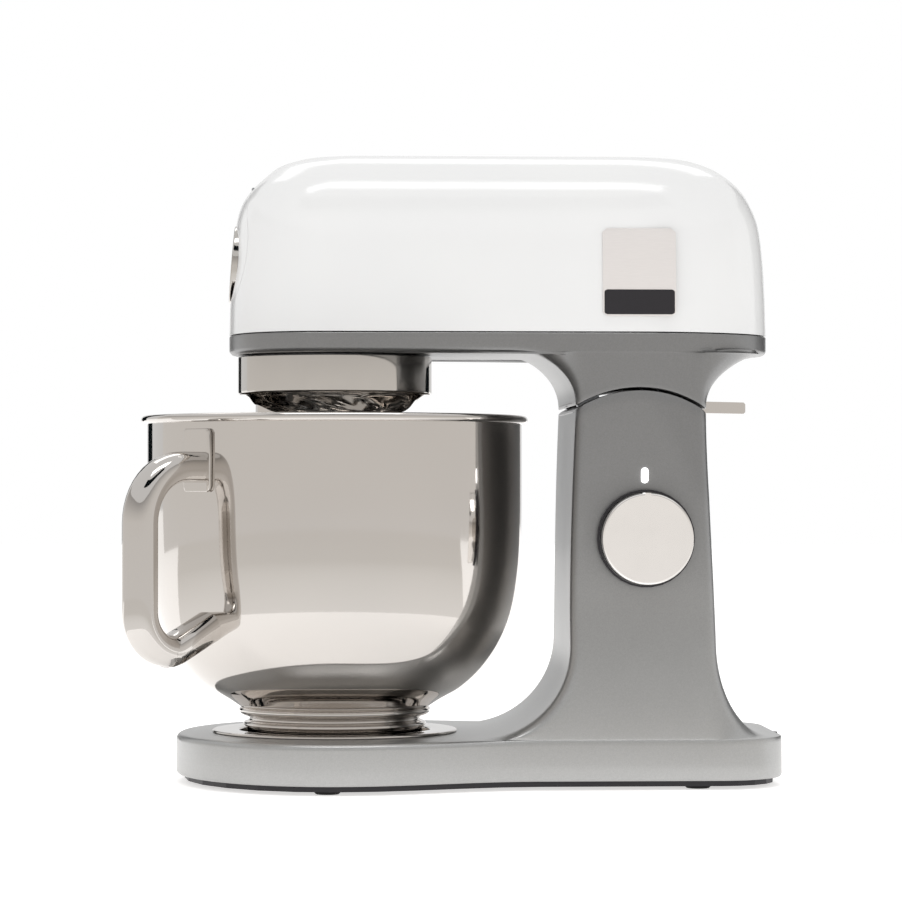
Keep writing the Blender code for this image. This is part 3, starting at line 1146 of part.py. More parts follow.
def drive_parts(head):
    """Layshaft, motor and outlet drive."""
    def joint(name, place):
        made = joint_empty(name, place)
        made.parent = head
        made.matrix_parent_inverse = Matrix.Translation(-head.location)
        return made

    lay = joint("lay_turn", (LAY_OFFSET, 0.0, MAIN_GEAR_TOP))
    floor = ARM_BOTTOM + CASTING_WALL + 2 * GAP
    shaft = turned("lay_shaft", [(0.0, floor), (LAY_SHAFT, floor), (LAY_SHAFT, PULLEY_TOP + 1.5 * MM),
                                 (0.0, PULLEY_TOP + 1.5 * MM)],
                   "steel", at=(LAY_OFFSET, 0.0, 0.0), count=20, parent=lay)
    teeth = turn_outline(gear_outline(LAY_TEETH, DRIVE_MODULE, 0.4 * MM),
                         gap_towards_mate(LAY_TEETH), (LAY_OFFSET, 0.0))
    pinion = extrude_outline(bmesh.new(), teeth, MAIN_GEAR_BOTTOM - 0.5 * MM, MAIN_GEAR_TOP + 0.5 * MM)
    cut(shaft, hidden_cutter(pinion, "add_lay_teeth"), "UNION")
    ring("lay_pulley", LAY_SHAFT + GAP, LAY_PULLEY, PULLEY_BOTTOM, PULLEY_TOP,
         "gear_plastic", LAY_OFFSET, 40, parent=lay)

    motor = joint("motor_turn", (MOTOR_X, 0.0, PULLEY_BOTTOM))
    shaft = MOTOR_SHAFT
    stack_low, stack_high = 262.0 * MM, 290.0 * MM
    rod("motor_shaft", shaft, floor + 1.0 * MM, PULLEY_TOP + 1.5 * MM, "steel", MOTOR_X, parent=motor)
    turned("motor_armature", [(shaft + GAP, stack_low), (22.0 * MM, stack_low), (22.0 * MM, stack_high),
                              (11.0 * MM, stack_high + 2.0 * MM), (11.0 * MM, stack_high + 10.0 * MM),
                              (shaft + GAP, stack_high + 10.0 * MM)],
           "copper", at=(MOTOR_X, 0.0, 0.0), count=28, parent=motor)
    ring("motor_pulley", shaft + GAP, MOTOR_PULLEY, PULLEY_BOTTOM, PULLEY_TOP, "steel",
         MOTOR_X, 24, parent=motor)
    blades = []
    for i in range(11):
        turn = 2 * math.pi * i / 11
        for radius, lean in ((14.0 * MM, -0.16), (36.0 * MM, -0.05),
                             (36.0 * MM, 0.03), (14.0 * MM, 0.16)):
            blades.append((MOTOR_X + radius * math.cos(turn + lean), radius * math.sin(turn + lean)))
    prism("motor_fan", blades, 251.0 * MM, 258.0 * MM, "dark_plastic",
          holes=[hole_at(MOTOR_X, 0.0, shaft + GAP, 16)], parent=motor)

    bracket = rounded_rectangle(45.0 * MM, 50.0 * MM, 12.0 * MM, 4, (MOTOR_X, 0.0))
    prism("motor_bracket_lower", bracket, floor, floor + 4.0 * MM, "aluminium",
          holes=[hole_at(MOTOR_X, 0.0, shaft + GAP, 20)], parent=head)
    posts = [(MOTOR_X + sx * 38.0 * MM, sy * 43.0 * MM) for sx in (-1, 1) for sy in (-1, 1)]
    bridge("motor_bracket_upper", rounded_rectangle(43.0 * MM, 48.0 * MM, 12.0 * MM, 4, (MOTOR_X, 0.0)),
           [hole_at(MOTOR_X, 0.0, shaft + GAP, 20)], stack_high + 13.0 * MM, stack_high + 17.0 * MM,
           posts, floor + 4.0 * MM + GAP, "aluminium", head)
    stator = rounded_rectangle(33.0 * MM, 38.0 * MM, 8.0 * MM, 3, (MOTOR_X, 0.0))
    prism("motor_stator", stator, stack_low, stack_high, "steel",
          holes=[hole_at(MOTOR_X, 0.0, 22.8 * MM, 28)], parent=head)
    for side, name in ((-1, "right"), (1, "left")):
        low, high = sorted((side * 11.6 * MM, side * 30.0 * MM))
        block("brush_" + name, (MOTOR_X - 3.5 * MM, low, stack_high + 3.0 * MM),
              (MOTOR_X + 3.5 * MM, high, stack_high + 9.0 * MM), "copper", parent=head)
    belt(head)

    outlet = joint("outlet_turn", (-40.0 * MM, 0.0, OUTLET_Z))
    front, step = -52.4 * MM, -46.6 * MM
    shaft = turned("outlet_shaft", [(0.0, front), (10.0 * MM, front), (10.0 * MM, step),
                                    (SHAFT_RADIUS, step), (SHAFT_RADIUS, OUTLET_SHAFT_END),
                                    (0.0, OUTLET_SHAFT_END)],
                   "steel", "x", (0.0, 0.0, OUTLET_Z), 20, parent=outlet)
    half = OUTLET_SQUARE / 2
    cut_block(shaft, "cut_square", (front - 1.0 * MM, -half, OUTLET_Z - half),
              (step - 1.0 * MM, half, OUTLET_Z + half))
    teeth = turn_outline(gear_outline(OUTLET_TEETH, CROWN_MODULE, 0.5 * MM), math.pi / OUTLET_TEETH)
    prism("outlet_pinion", teeth, -(CROWN_PITCH + 3.0 * MM), -(CROWN_PITCH - 3.0 * MM), "steel", "x",
          (0.0, 0.0, OUTLET_Z), holes=[circle(SHAFT_RADIUS + GAP, 20)], parent=outlet)


OUTLET_SHAFT_END = -22.0 * MM
OUTLET_SQUARE = 9.0 * MM


def belt_outline(clear):
    """Open-sided loop round both pulleys, a set distance off them."""
    small, large = MOTOR_PULLEY + clear, LAY_PULLEY + clear
    lean = math.acos((large - small) / (MOTOR_X - LAY_OFFSET))
    points = []
    for i in range(17):
        turn = blend(lean, 2 * math.pi - lean, i / 16)
        points.append((LAY_OFFSET + large * math.cos(turn), large * math.sin(turn)))
    for i in range(9):
        turn = blend(-lean, lean, i / 8)
        points.append((MOTOR_X + small * math.cos(turn), small * math.sin(turn)))
    return points


def belt(head):
    prism("drive_belt", belt_outline(2 * GAP + BELT_THICKNESS), PULLEY_BOTTOM + 1.0 * MM,
          PULLEY_TOP - 1.0 * MM, "black_rubber", holes=[belt_outline(2 * GAP)], parent=head)


# ================================================================ build
def main():
    for thing in list(bpy.data.objects):
        bpy.data.objects.remove(thing, do_unlink=True)
    base_casting()
    base_parts()
    bowl_seat()
    bowl_parts()
    hinge_inside_stand()
    controls()
    head = joint_empty("head_tilt", (PIVOT_X, 0.0, PIVOT_Z))
    head_casting(head)
    head_cover(head)
    outlet_parts(head)
    badge(head)
    lever_parts(head)
    hinge_arms(head)
    gearbox(head)
    planetary(head)
    drive_parts(head)


main()
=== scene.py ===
# %% [markdown]
# # A tilt-head stand mixer
# The real thing is a kitchen machine: a silver stand, a white head that tilts back on a
# pin in the neck, and a polished bowl under a planetary drum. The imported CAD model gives
# every solid, its place and how it moves. This lesson dresses that frame: most shells
# that show are modelled again with finer curves, and the inner parts keep their CAD
# shape and get a finish that reads as the real material.

# %% Load the frame
import json
import math

import bmesh
import bpy
import numpy as np
from mathutils import Matrix, Vector


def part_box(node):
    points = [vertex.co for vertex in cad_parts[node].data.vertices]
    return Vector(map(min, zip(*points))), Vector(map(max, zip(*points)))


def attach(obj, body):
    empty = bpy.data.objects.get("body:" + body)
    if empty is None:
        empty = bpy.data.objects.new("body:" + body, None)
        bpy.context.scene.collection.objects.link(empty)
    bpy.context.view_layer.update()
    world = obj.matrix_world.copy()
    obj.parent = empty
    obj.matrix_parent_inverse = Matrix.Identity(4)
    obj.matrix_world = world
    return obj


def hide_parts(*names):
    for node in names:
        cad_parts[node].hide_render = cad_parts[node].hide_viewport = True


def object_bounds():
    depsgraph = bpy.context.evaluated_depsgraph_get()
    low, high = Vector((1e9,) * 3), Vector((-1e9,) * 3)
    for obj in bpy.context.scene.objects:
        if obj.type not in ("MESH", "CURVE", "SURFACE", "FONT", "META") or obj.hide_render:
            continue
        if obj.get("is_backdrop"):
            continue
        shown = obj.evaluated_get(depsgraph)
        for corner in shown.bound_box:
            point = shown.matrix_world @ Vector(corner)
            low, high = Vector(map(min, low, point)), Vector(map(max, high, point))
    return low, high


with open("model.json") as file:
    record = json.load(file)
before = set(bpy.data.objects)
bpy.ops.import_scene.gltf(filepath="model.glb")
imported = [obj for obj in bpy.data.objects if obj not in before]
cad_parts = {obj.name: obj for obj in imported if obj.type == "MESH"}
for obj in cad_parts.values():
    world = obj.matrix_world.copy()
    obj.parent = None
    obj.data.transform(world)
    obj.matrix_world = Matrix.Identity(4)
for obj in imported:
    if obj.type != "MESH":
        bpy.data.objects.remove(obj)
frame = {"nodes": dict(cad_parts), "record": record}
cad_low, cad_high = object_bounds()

MM = 0.001
size_mm = [round((high - low) / MM, 1) for low, high in zip(cad_low, cad_high)]
print("frame:", len(frame["nodes"]), "nodes, box in mm", size_mm)

# %% [markdown]
# ## Camera, room and paper
# The machine stands a little under two metres from the lens, at about bowl height, and a
# long lens keeps its upright lines parallel. The colours are plain display colours, so
# the Standard view is used. White paper runs under the machine and the room is white:
# the camera sees it at full strength, and the machine is lit by a little less.

# %% Camera
CAMERA_PLACE, LOOKED_AT = (-0.023, -1.878, 0.163), (0.0655, 0.0, 0.185)
bpy.context.scene.view_settings.view_transform = "Standard"


def aim(thing, target):
    """Turns a camera or light so that it looks at a point."""
    thing.rotation_euler = (Vector(target) - thing.location).to_track_quat("-Z", "Y").to_euler()


bpy.ops.object.select_all(action="DESELECT")
bpy.ops.object.camera_add(location=CAMERA_PLACE)
camera = bpy.context.object
camera.data.lens = 133.0
camera.data.sensor_width = 36.0
camera.data.clip_start = 0.05
camera.data.clip_end = 50.0
aim(camera, LOOKED_AT)
bpy.context.scene.camera = camera
print("camera:", camera.data.lens, "mm lens, aimed at", LOOKED_AT)

# %% White room
ROOM_LIGHT, ROOM_SEEN = 0.80, 1.0


def add(finish, kind, settings=None, links=None):
    """Adds a node, sets its properties or sockets, and links other sockets into it."""
    node = finish.node_tree.nodes.new(kind)
    for key, value in (settings or {}).items():
        if isinstance(key, str) and hasattr(node, key):
            setattr(node, key, value)
        else:
            node.inputs[key].default_value = value
    for key, source in (links or {}).items():
        finish.node_tree.links.new(source, node.inputs[key])
    return node


world = bpy.data.worlds.new("white_room")
world.use_nodes = True
room = world.node_tree.nodes["Background"]
room.inputs["Color"].default_value = (1.0, 1.0, 1.0, 1.0)
seen = add(world, "ShaderNodeLightPath")
level = add(world, "ShaderNodeMapRange", {"To Min": ROOM_LIGHT, "To Max": ROOM_SEEN},
            {"Value": seen.outputs["Is Camera Ray"]})
world.node_tree.links.new(level.outputs["Result"], room.inputs["Strength"])
bpy.context.scene.world = world
print("room: strength", ROOM_LIGHT, "on the machine and", ROOM_SEEN, "to the camera")

# %% Paper floor
PAPER_SHADE, PAPER_GLOW = (0.80, 0.80, 0.80), 0.62


def studio_finish(name, colour, glow=0.0):
    """A dull finish for the studio: one shade, which may be lit from inside."""
    made = bpy.data.materials.new(name)
    made.use_nodes = True
    shader = made.node_tree.nodes["Principled BSDF"]
    shader.inputs["Base Color"].default_value = (*colour, 1.0)
    shader.inputs["Roughness"].default_value = 0.8
    shader.inputs["Specular IOR Level"].default_value = 0.0
    shader.inputs["Emission Color"].default_value = (1.0, 0.985, 0.97, 1.0)
    shader.inputs["Emission Strength"].default_value = glow
    return made


bpy.ops.object.select_all(action="DESELECT")
bpy.ops.mesh.primitive_plane_add(size=16.0, location=(0.0, 0.0, 0.0))
floor = bpy.context.object
floor.name = "paper_floor"
floor.data.materials.append(studio_finish("white_paper", PAPER_SHADE, glow=PAPER_GLOW))
floor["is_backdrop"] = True
print("floor:", [round(side, 1) for side in floor.dimensions[:2]], "m of paper")

# %% [markdown]
# ### Boards for the mirror finishes
# A polished bowl shows whatever stands round it. So a warm grey board is bent round the
# front, brightest at its foot, a grey sheet lies on the paper, and dark flags stand
# behind and high in front, which give polished steel its dark bands. They are there for
# reflections alone: the camera, shadows and dull surfaces don't see them.

# %% A graded glow


def blend(a, b, t):
    return a + (b - a) * t


def graded_glow(name, shades, middle_at, last_at, outwards=False):
    """Three shades of linear light that meet going up, or outwards, in metres."""
    made = studio_finish(name, (0.0, 0.0, 0.0), glow=1.0)
    place = add(made, "ShaderNodeTexCoord").outputs["Object"]
    if outwards:
        run = add(made, "ShaderNodeVectorMath", {"operation": "LENGTH"}, {0: place}).outputs["Value"]
    else:
        run = add(made, "ShaderNodeSeparateXYZ", links={0: place}).outputs["Z"]
    share = add(made, "ShaderNodeMapRange", {"From Max": last_at}, {"Value": run})
    ramp = add(made, "ShaderNodeValToRGB", links={"Fac": share.outputs["Result"]})
    first, middle, last = [(*shade, 1.0) for shade in shades]
    ramp.color_ramp.elements[0].color = first
    ramp.color_ramp.elements[1].color = last
    ramp.color_ramp.elements.new(middle_at / last_at).color = middle
    shader = made.node_tree.nodes["Principled BSDF"]
    made.node_tree.links.new(ramp.outputs["Color"], shader.inputs["Emission Color"])
    return made


# %% Stand the boards
WARM_GREY, FAR = (0.80, 0.775, 0.745), 2.1
front_glow = graded_glow("warm_grey_board", ((0.84, 0.82, 0.80), WARM_GREY, (0.42, 0.41, 0.40)),
                         0.28, 1.2)
table_glow = graded_glow("table_grey", ((1.15, 1.14, 1.13), (0.83, 0.81, 0.78), WARM_GREY),
                         0.9, FAR, outwards=True)
black_felt = studio_finish("black_felt", (0.004, 0.006, 0.007))
BOARDS = [
    # name, finish, turns in degrees, distances and heights in metres, strips
    ("table_board", table_glow, (-110.0, 80.0), (0.30, FAR), (0.0015, 0.0015), 6),
    ("front_board", front_glow, (-128.0, 93.0), (FAR, FAR), (0.0, 1.2), 1),
    ("flag_left_rear", black_felt, (-163.0, -148.0), (FAR, FAR), (0.0, 1.3), 1),
    ("flag_right_rear", black_felt, (118.0, 150.0), (FAR, FAR), (0.0, 1.3), 1),
    ("flag_front_high", black_felt, (-50.0, 50.0), (0.8, 0.8), (0.95, 1.45), 1),
]


def bent_board(name, finish, turns, distances, heights, strips):
    """A board bent round the machine; turns go from the front towards the right."""
    bpy.ops.object.select_all(action="DESELECT")
    bpy.ops.mesh.primitive_grid_add(x_subdivisions=24, y_subdivisions=strips, size=1.0)
    made = bpy.context.object
    made.name = name
    for vert in made.data.vertices:
        along, across = vert.co.x + 0.5, vert.co.y + 0.5
        turn, distance = math.radians(blend(*turns, along)), blend(*distances, across)
        vert.co = (distance * math.sin(turn), -distance * math.cos(turn), blend(*heights, across))
    made.data.materials.append(finish)
    made.visible_camera = made.visible_shadow = made.visible_diffuse = False
    made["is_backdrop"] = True


for facts in BOARDS:
    bent_board(*facts)
print("boards:", ", ".join(facts[0] for facts in BOARDS))

# %% [markdown]
# ### Soft lights
# The white room gives most of the light. A long soft light overhead and another high
# behind add the bright edges along the head and the base, without hard shadows.

# %% Soft lights
LIT_POINT = (0.08, 0.0, 0.3)


def soft_light(name, place, width, height, power):
    """A rectangle of light aimed at the head; sizes in metres, power in watts."""
    light = bpy.data.lights.new(name, "AREA")
    light.shape = "RECTANGLE"
    light.size = width
    light.size_y = height
    light.energy = power
    made = bpy.data.objects.new(name, light)
    bpy.context.scene.collection.objects.link(made)
    made.location = place
    aim(made, LIT_POINT)
    made.visible_camera = False
    return made


soft_light("overhead", (0.08, -0.30, 1.5), 1.1, 0.3, 4.0)
soft_light("rear_top", (0.1, 0.9, 1.3), 1.4, 0.4, 2.5)

# %% [markdown]
# ## Finishes
# Each finish is named for the real material. The helper that added nodes to the room
# adds them here too, and one function turns a display colour into the linear one that
# Blender mixes with. Every pattern reads Object coordinates, which are metres here, so a
# noise of scale s has grains of about 1/s metres.

# %% Helpers for finishes


def linear(display):
    """sRGB hex to the linear colour that the renderer works in."""
    parts = [int(display[i:i + 2], 16) / 255.0 for i in (1, 3, 5)]
    return tuple(p / 12.92 if p <= 0.04045 else ((p + 0.055) / 1.055) ** 2.4 for p in parts) + (1.0,)


def grains(millimetres):
    """Noise scale that draws grains of a size in millimetres."""
    return 1000.0 / millimetres


def new_finish(name, roughness, metallic=0.0, ior=None):
    """An empty finish: its shader with the plain numbers set on its own sockets."""
    made = bpy.data.materials.new(name)
    made.use_nodes = True
    shader = made.node_tree.nodes["Principled BSDF"]
    shader.inputs["Roughness"].default_value = roughness
    shader.inputs["Metallic"].default_value = metallic
    if ior:
        shader.inputs["IOR"].default_value = ior
    place = add(made, "ShaderNodeTexCoord").outputs["Object"]
    return made, shader, place


def two_shades(made, pattern, first, second):
    """Mixes two near colours by a pattern."""
    return add(made, "ShaderNodeMix", {"data_type": "RGBA", 6: linear(first), 7: linear(second)},
               {0: pattern}).outputs[2]


def mottle(made, shader, pattern, first, second):
    """Gives the base colour two near shades."""
    shade = two_shades(made, pattern, first, second)
    made.node_tree.links.new(shade, shader.inputs["Base Color"])


def relief(made, shader, pattern, depth_mm, strength):
    """Turns a pattern into small bumps of a real depth."""
    bump = add(made, "ShaderNodeBump", {"Strength": strength, "Distance": depth_mm * MM},
               {"Height": pattern})
    made.node_tree.links.new(bump.outputs["Normal"], shader.inputs["Normal"])


def vary_gloss(made, shader, pattern, smooth, rough):
    """Lets the gloss change with a pattern, between two roughnesses."""
    spread = add(made, "ShaderNodeMapRange", {"To Min": smooth, "To Max": rough}, {"Value": pattern})
    made.node_tree.links.new(spread.outputs["Result"], shader.inputs["Roughness"])


FINISHES = {}

# %% [markdown]
# ### Enamel, metallic paint and polished steel
# The head is stove-enamelled: a thick glossy white coat whose surface pulls into very
# shallow waves a few millimetres long. The stand is sprayed with metallic paint: tiny
# aluminium flakes under clear lacquer, so it is satin, with a fine sparkle. The bowl is
# mirror-polished stainless steel, where only faint buffing streaks soften the mirror.

# %% Stove enamel
enamel, shader, place = new_finish("stove_enamel_white", 0.13, ior=1.5)
waves = add(enamel, "ShaderNodeTexNoise", {"Scale": grains(9.0), "Detail": 1.0}, {"Vector": place})
tint = add(enamel, "ShaderNodeTexNoise", {"Scale": grains(60.0), "Detail": 2.0}, {"Vector": place})
mottle(enamel, shader, tint.outputs["Fac"], "#EAEAE9", "#E6E6E6")
vary_gloss(enamel, shader, tint.outputs["Fac"], 0.10, 0.17)
relief(enamel, shader, waves.outputs["Fac"], 0.02, 0.25)
FINISHES["white_enamel"] = enamel

# %% Metallic paint
# The flakes are a few hundredths of a millimetre; they are drawn at 0.5 mm to show.
# Heights where the painted light on the base gives way to the painted shade high up.
SHADE_GRADE_LOW, SHADE_GRADE_HIGH = 20 * MM, 170 * MM
paint, shader, place = new_finish("metallic_paint_silver", 0.36, metallic=0.75)
flakes = add(paint, "ShaderNodeTexVoronoi", {"Scale": grains(0.5)}, {"Vector": place})
cloud = add(paint, "ShaderNodeTexNoise", {"Scale": grains(45.0), "Detail": 2.0}, {"Vector": place})
sparkle = add(paint, "ShaderNodeMix", {"data_type": "FLOAT", 0: 0.35},
              {2: flakes.outputs["Color"], 3: cloud.outputs["Fac"]})
# The base colour carries painted light and painted shade: lighter on the base and darker high up, as light
# falls on the stand, so two pairs of shades meet by height.
height = add(paint, "ShaderNodeSeparateXYZ", links={"Vector": place})
rise = add(paint, "ShaderNodeMapRange",
           {"From Min": SHADE_GRADE_LOW, "From Max": SHADE_GRADE_HIGH, "interpolation_type": "SMOOTHSTEP"},
           {"Value": height.outputs["Z"]})
painted_light_low = two_shades(paint, sparkle.outputs[0], "#A9A9A8", "#B8B8B7")
painted_shade_high = two_shades(paint, sparkle.outputs[0], "#828282", "#8E8E8E")
coat = add(paint, "ShaderNodeMix", {"data_type": "RGBA"},
           {0: rise.outputs["Result"], 6: painted_light_low, 7: painted_shade_high})
paint.node_tree.links.new(coat.outputs[2], shader.inputs["Base Color"])
vary_gloss(paint, shader, cloud.outputs["Fac"], 0.33, 0.40)
relief(paint, shader, flakes.outputs["Distance"], 0.01, 0.2)
shader.inputs["Coat Weight"].default_value = 0.25
shader.inputs["Coat Roughness"].default_value = 0.15
FINISHES["silver_paint"] = paint

# %% Polished stainless steel
steel_mirror, shader, place = new_finish("polished_stainless_steel", 0.05, metallic=1.0)
stretch = add(steel_mirror, "ShaderNodeMapping", {"Scale": (1.0, 1.0, 0.06)}, {"Vector": place})
buffing = add(steel_mirror, "ShaderNodeTexNoise", {"Scale": grains(0.8), "Detail": 3.0},
              {"Vector": stretch.outputs["Vector"]})
cloud = add(steel_mirror, "ShaderNodeTexNoise", {"Scale": grains(70.0), "Detail": 1.0},
            {"Vector": place})
mottle(steel_mirror, shader, cloud.outputs["Fac"], "#D3CEC9", "#CCC8C4")
vary_gloss(steel_mirror, shader, buffing.outputs["Fac"], 0.03, 0.085)
relief(steel_mirror, shader, buffing.outputs["Fac"], 0.002, 0.1)
FINISHES["polished_steel"] = steel_mirror

# %% Polished die-cast alloy
# The drum and the disc: a little darker and softer than the bowl's steel, faintly cloudy.
drum_alloy, shader, place = new_finish("polished_die_cast_alloy", 0.08, metallic=1.0)
cloud = add(drum_alloy, "ShaderNodeTexNoise", {"Scale": grains(25.0), "Detail": 3.0}, {"Vector": place})
mottle(drum_alloy, shader, cloud.outputs["Fac"], "#CFCBC6", "#C6C2BD")
vary_gloss(drum_alloy, shader, cloud.outputs["Fac"], 0.06, 0.11)
relief(drum_alloy, shader, cloud.outputs["Fac"], 0.02, 0.1)
FINISHES["drum_metal"] = drum_alloy
print("finishes so far:", sorted(FINISHES))

# %% [markdown]
# ### Finishes with one grain
# Moulded, cast, sintered and rubbed surfaces differ mostly in grain size, depth and
# gloss, so a table of those facts makes them all: the two shades that the grain mixes,
# the grain in millimetres, its depth, the gloss range and whether it is metal. The last
# three numbers stretch the grain, as turning and rolling do.

# %% Grained finishes
GRAINED = {
    # slot: name, shade, other shade, grain mm, depth mm, smooth, rough, metallic, stretch
    # Moulded and rubber parts: near black, with a faint even texture.
    "dark_plastic": ("moulded_abs_black", "#211D24", "#17141A", 0.6, 0.03, 0.38, 0.50, 0.0, (1, 1, 1)),
    "black_rubber": ("moulded_rubber_black", "#151516", "#0D0D0E", 0.8, 0.04, 0.70, 0.85, 0.0, (1, 1, 1)),
    "gear_plastic": ("moulded_acetal", "#DDD8C9", "#CFC9B8", 0.9, 0.02, 0.35, 0.45, 0.0, (1, 1, 1)),
    # Brushed and turned metal: fine lines in the way of the tool.
    "badge_plate": ("brushed_badge_plate", "#E2DDDA", "#DAD5D2", 0.5, 0.004, 0.30, 0.38, 0.15,
                    (0.08, 1, 1)),
    "steel": ("machined_steel", "#A4A7AB", "#8D9094", 0.9, 0.02, 0.26, 0.40, 1.0, (1, 1, 0.2)),
    # Cast, sintered and wound metal: a coarser, duller grain.
    "cast_aluminium": ("sand_cast_aluminium", "#B9BBBD", "#A3A5A7", 1.2, 0.08, 0.38, 0.55, 1.0, (1, 1, 1)),
    "bronze": ("sintered_bronze", "#B98B4E", "#8E6534", 0.7, 0.04, 0.36, 0.50, 1.0, (1, 1, 1)),
    "copper": ("copper_winding", "#C07548", "#8F4A28", 0.9, 0.15, 0.30, 0.45, 1.0, (1, 1, 0.1)),
    # Woven glass under green resin.
    "board": ("epoxy_circuit_board", "#14663A", "#0C4427", 2.5, 0.05, 0.30, 0.50, 0.0, (1, 0.2, 1)),
}
for slot_name, facts in GRAINED.items():
    name, shade, other, grain, depth, smooth, rough, metal, pull = facts
    made, shader, place = new_finish(name, smooth, metallic=metal)
    pulled = add(made, "ShaderNodeMapping", {"Scale": pull}, {"Vector": place})
    noise = add(made, "ShaderNodeTexNoise", {"Scale": grains(grain), "Detail": 3.0},
                {"Vector": pulled.outputs["Vector"]})
    mottle(made, shader, noise.outputs["Fac"], shade, other)
    vary_gloss(made, shader, noise.outputs["Fac"], smooth, rough)
    relief(made, shader, noise.outputs["Fac"], depth, 0.4)
    FINISHES[slot_name] = made
print("grained:", ", ".join(GRAINED))

# %% Lit lens
# The lens is clear plastic over a white lamp, so it glows by itself.
lens, shader, place = new_finish("lit_acrylic_lens", 0.2, ior=1.49)
haze = add(lens, "ShaderNodeTexNoise", {"Scale": grains(1.5)}, {"Vector": place})
mottle(lens, shader, haze.outputs["Fac"], "#FFFFFF", "#F4F8FF")
shader.inputs["Emission Color"].default_value = (1.0, 1.0, 1.0, 1.0)
shader.inputs["Emission Strength"].default_value = 2.5
FINISHES["light_lens"] = lens

# %% Dress every CAD node in its record's finish
dressed = 0
for part in frame["record"]["subparts"]:
    node = frame["nodes"][part["node"]]
    node.data.materials.clear()
    node.data.materials.append(FINISHES[part["material_slot"]])
    dressed += 1
print("dressed", dressed, "nodes in", len(FINISHES), "finishes")

# %% [markdown]
# ## How the shells are drawn
# Castings, the bowl and the handle are all one idea: a ring of points is drawn out,
# extruded again and again, and each new ring is set to its section. A circle is the
# primitive, Extrude makes the surface, and the section decides the shape. Afterwards
# Solidify gives a wall, Boolean cuts the openings, and the normals are made to agree.

# %% Drawing out a ring


def alone(piece):
    bpy.ops.object.select_all(action="DESELECT")
    piece.select_set(True)
    bpy.context.view_layer.objects.active = piece


def draw_out(name, rings, first="flat", last="flat"):
    """Extrudes a circle ring by ring. Each end is closed flat, by strips across, or left open."""
    count = len(rings[0])
    bpy.ops.object.select_all(action="DESELECT")
    bpy.ops.mesh.primitive_circle_add(vertices=count, radius=0.01, location=(0.0, 0.0, 0.0))
    piece = bpy.context.object
    piece.name = name
    piece.data.name = name
    bpy.ops.object.mode_set(mode="EDIT")
    bpy.ops.mesh.select_mode(type="VERT")
    bpy.ops.mesh.select_all(action="SELECT")
    mesh = bmesh.from_edit_mesh(piece.data)
    mesh.verts.ensure_lookup_table()
    where = {i: i for i in range(count)}
    for i in range(count):
        mesh.verts[i].co = rings[0][i]
    for level, ring in enumerate(rings[1:], start=1):
        bpy.ops.mesh.extrude_region_move()
        mesh = bmesh.from_edit_mesh(piece.data)
        mesh.verts.index_update()
        mesh.verts.ensure_lookup_table()
        fresh = {}
        for vert in mesh.verts[level * count:]:
            below = next(e.other_vert(vert) for e in vert.link_edges
                         if e.other_vert(vert).index < level * count)
            fresh[vert.index] = where[below.index]
            vert.co = ring[where[below.index]]
        where.update(fresh)
    mesh.verts.ensure_lookup_table()
    places = [[None] * count for _ in rings]
    for index, slot_in_ring in where.items():
        places[index // count][slot_in_ring] = mesh.verts[index]
    for way, ends in ((first, places[0]), (last, places[-1])):
        if way == "flat":
            mesh.faces.new(ends)
        elif way == "across":
            close_across(mesh, ends)
    bmesh.update_edit_mesh(piece.data)
    tidy_mesh()
    return piece


def close_across(mesh, ring):
    """Strips between each point of a mirrored ring and its mirror image."""
    half = len(ring) // 2
    for i in range(half):
        corners = [ring[i], ring[i + 1], ring[-(i + 1)], ring[-i % len(ring)]]
        kept = [v for k, v in enumerate(corners) if v not in corners[:k]]
        if len(kept) > 2:
            mesh.faces.new(kept)


def tidy_mesh():
    """Merges doubles, turns the faces outwards and leaves edit mode."""
    bpy.ops.mesh.select_all(action="SELECT")
    bpy.ops.mesh.remove_doubles(threshold=1e-6)
    bpy.ops.mesh.dissolve_degenerate(threshold=1e-7)
    bpy.ops.mesh.normals_make_consistent(inside=False)
    bpy.ops.object.mode_set(mode="OBJECT")


def apply_modifier(piece, kind, **settings):
    alone(piece)
    modifier = piece.modifiers.new(kind.title(), kind)
    for key, value in settings.items():
        setattr(modifier, key, value)
    bpy.ops.object.modifier_apply(modifier=modifier.name)


def carve(piece, cutter, operation="DIFFERENCE"):
    """Applies a Boolean with a throwaway cutter."""
    apply_modifier(piece, "BOOLEAN", object=cutter, operation=operation, solver="EXACT")
    bpy.data.objects.remove(cutter, do_unlink=True)


def finish_piece(piece, slot_name, body, nodes, angle=32.0, finish=None):
    """Smooths a piece, dresses it, hangs it on the body it rides on and hides the CAD nodes it stands for.
    """
    alone(piece)
    bpy.ops.object.transform_apply(location=True, rotation=True, scale=True)
    bpy.ops.object.shade_smooth_by_angle(angle=math.radians(angle))
    piece.data.materials.clear()
    piece.data.materials.append(finish or FINISHES[slot_name])
    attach(piece, body)
    if nodes:
        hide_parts(*nodes)
    print(piece.name, "has", len(piece.data.polygons), "faces")
    return piece


# %% Sections and profiles


def ease(t):
    """0 to 1 with a soft start and a soft end."""
    t = min(1.0, max(0.0, t))
    return t * t * (3.0 - 2.0 * t)


def through(points, steps):
    """A smooth curve through the points (Catmull-Rom), steps to each stretch."""
    known = np.array(points, float)
    padded = np.vstack([2 * known[0] - known[1], known, 2 * known[-1] - known[-2]])
    curve = []
    for i in range(1, len(padded) - 2):
        a, b, c, d = padded[i - 1:i + 3]
        for t in np.arange(steps) / steps:
            curve.append(0.5 * (2 * b + (c - a) * t + (2 * a - 5 * b + 4 * c - d) * t ** 2
                                + (3 * b - a - 3 * c + d) * t ** 3))
    curve.append(known[-1])
    return [tuple(float(v) for v in p) for p in curve]


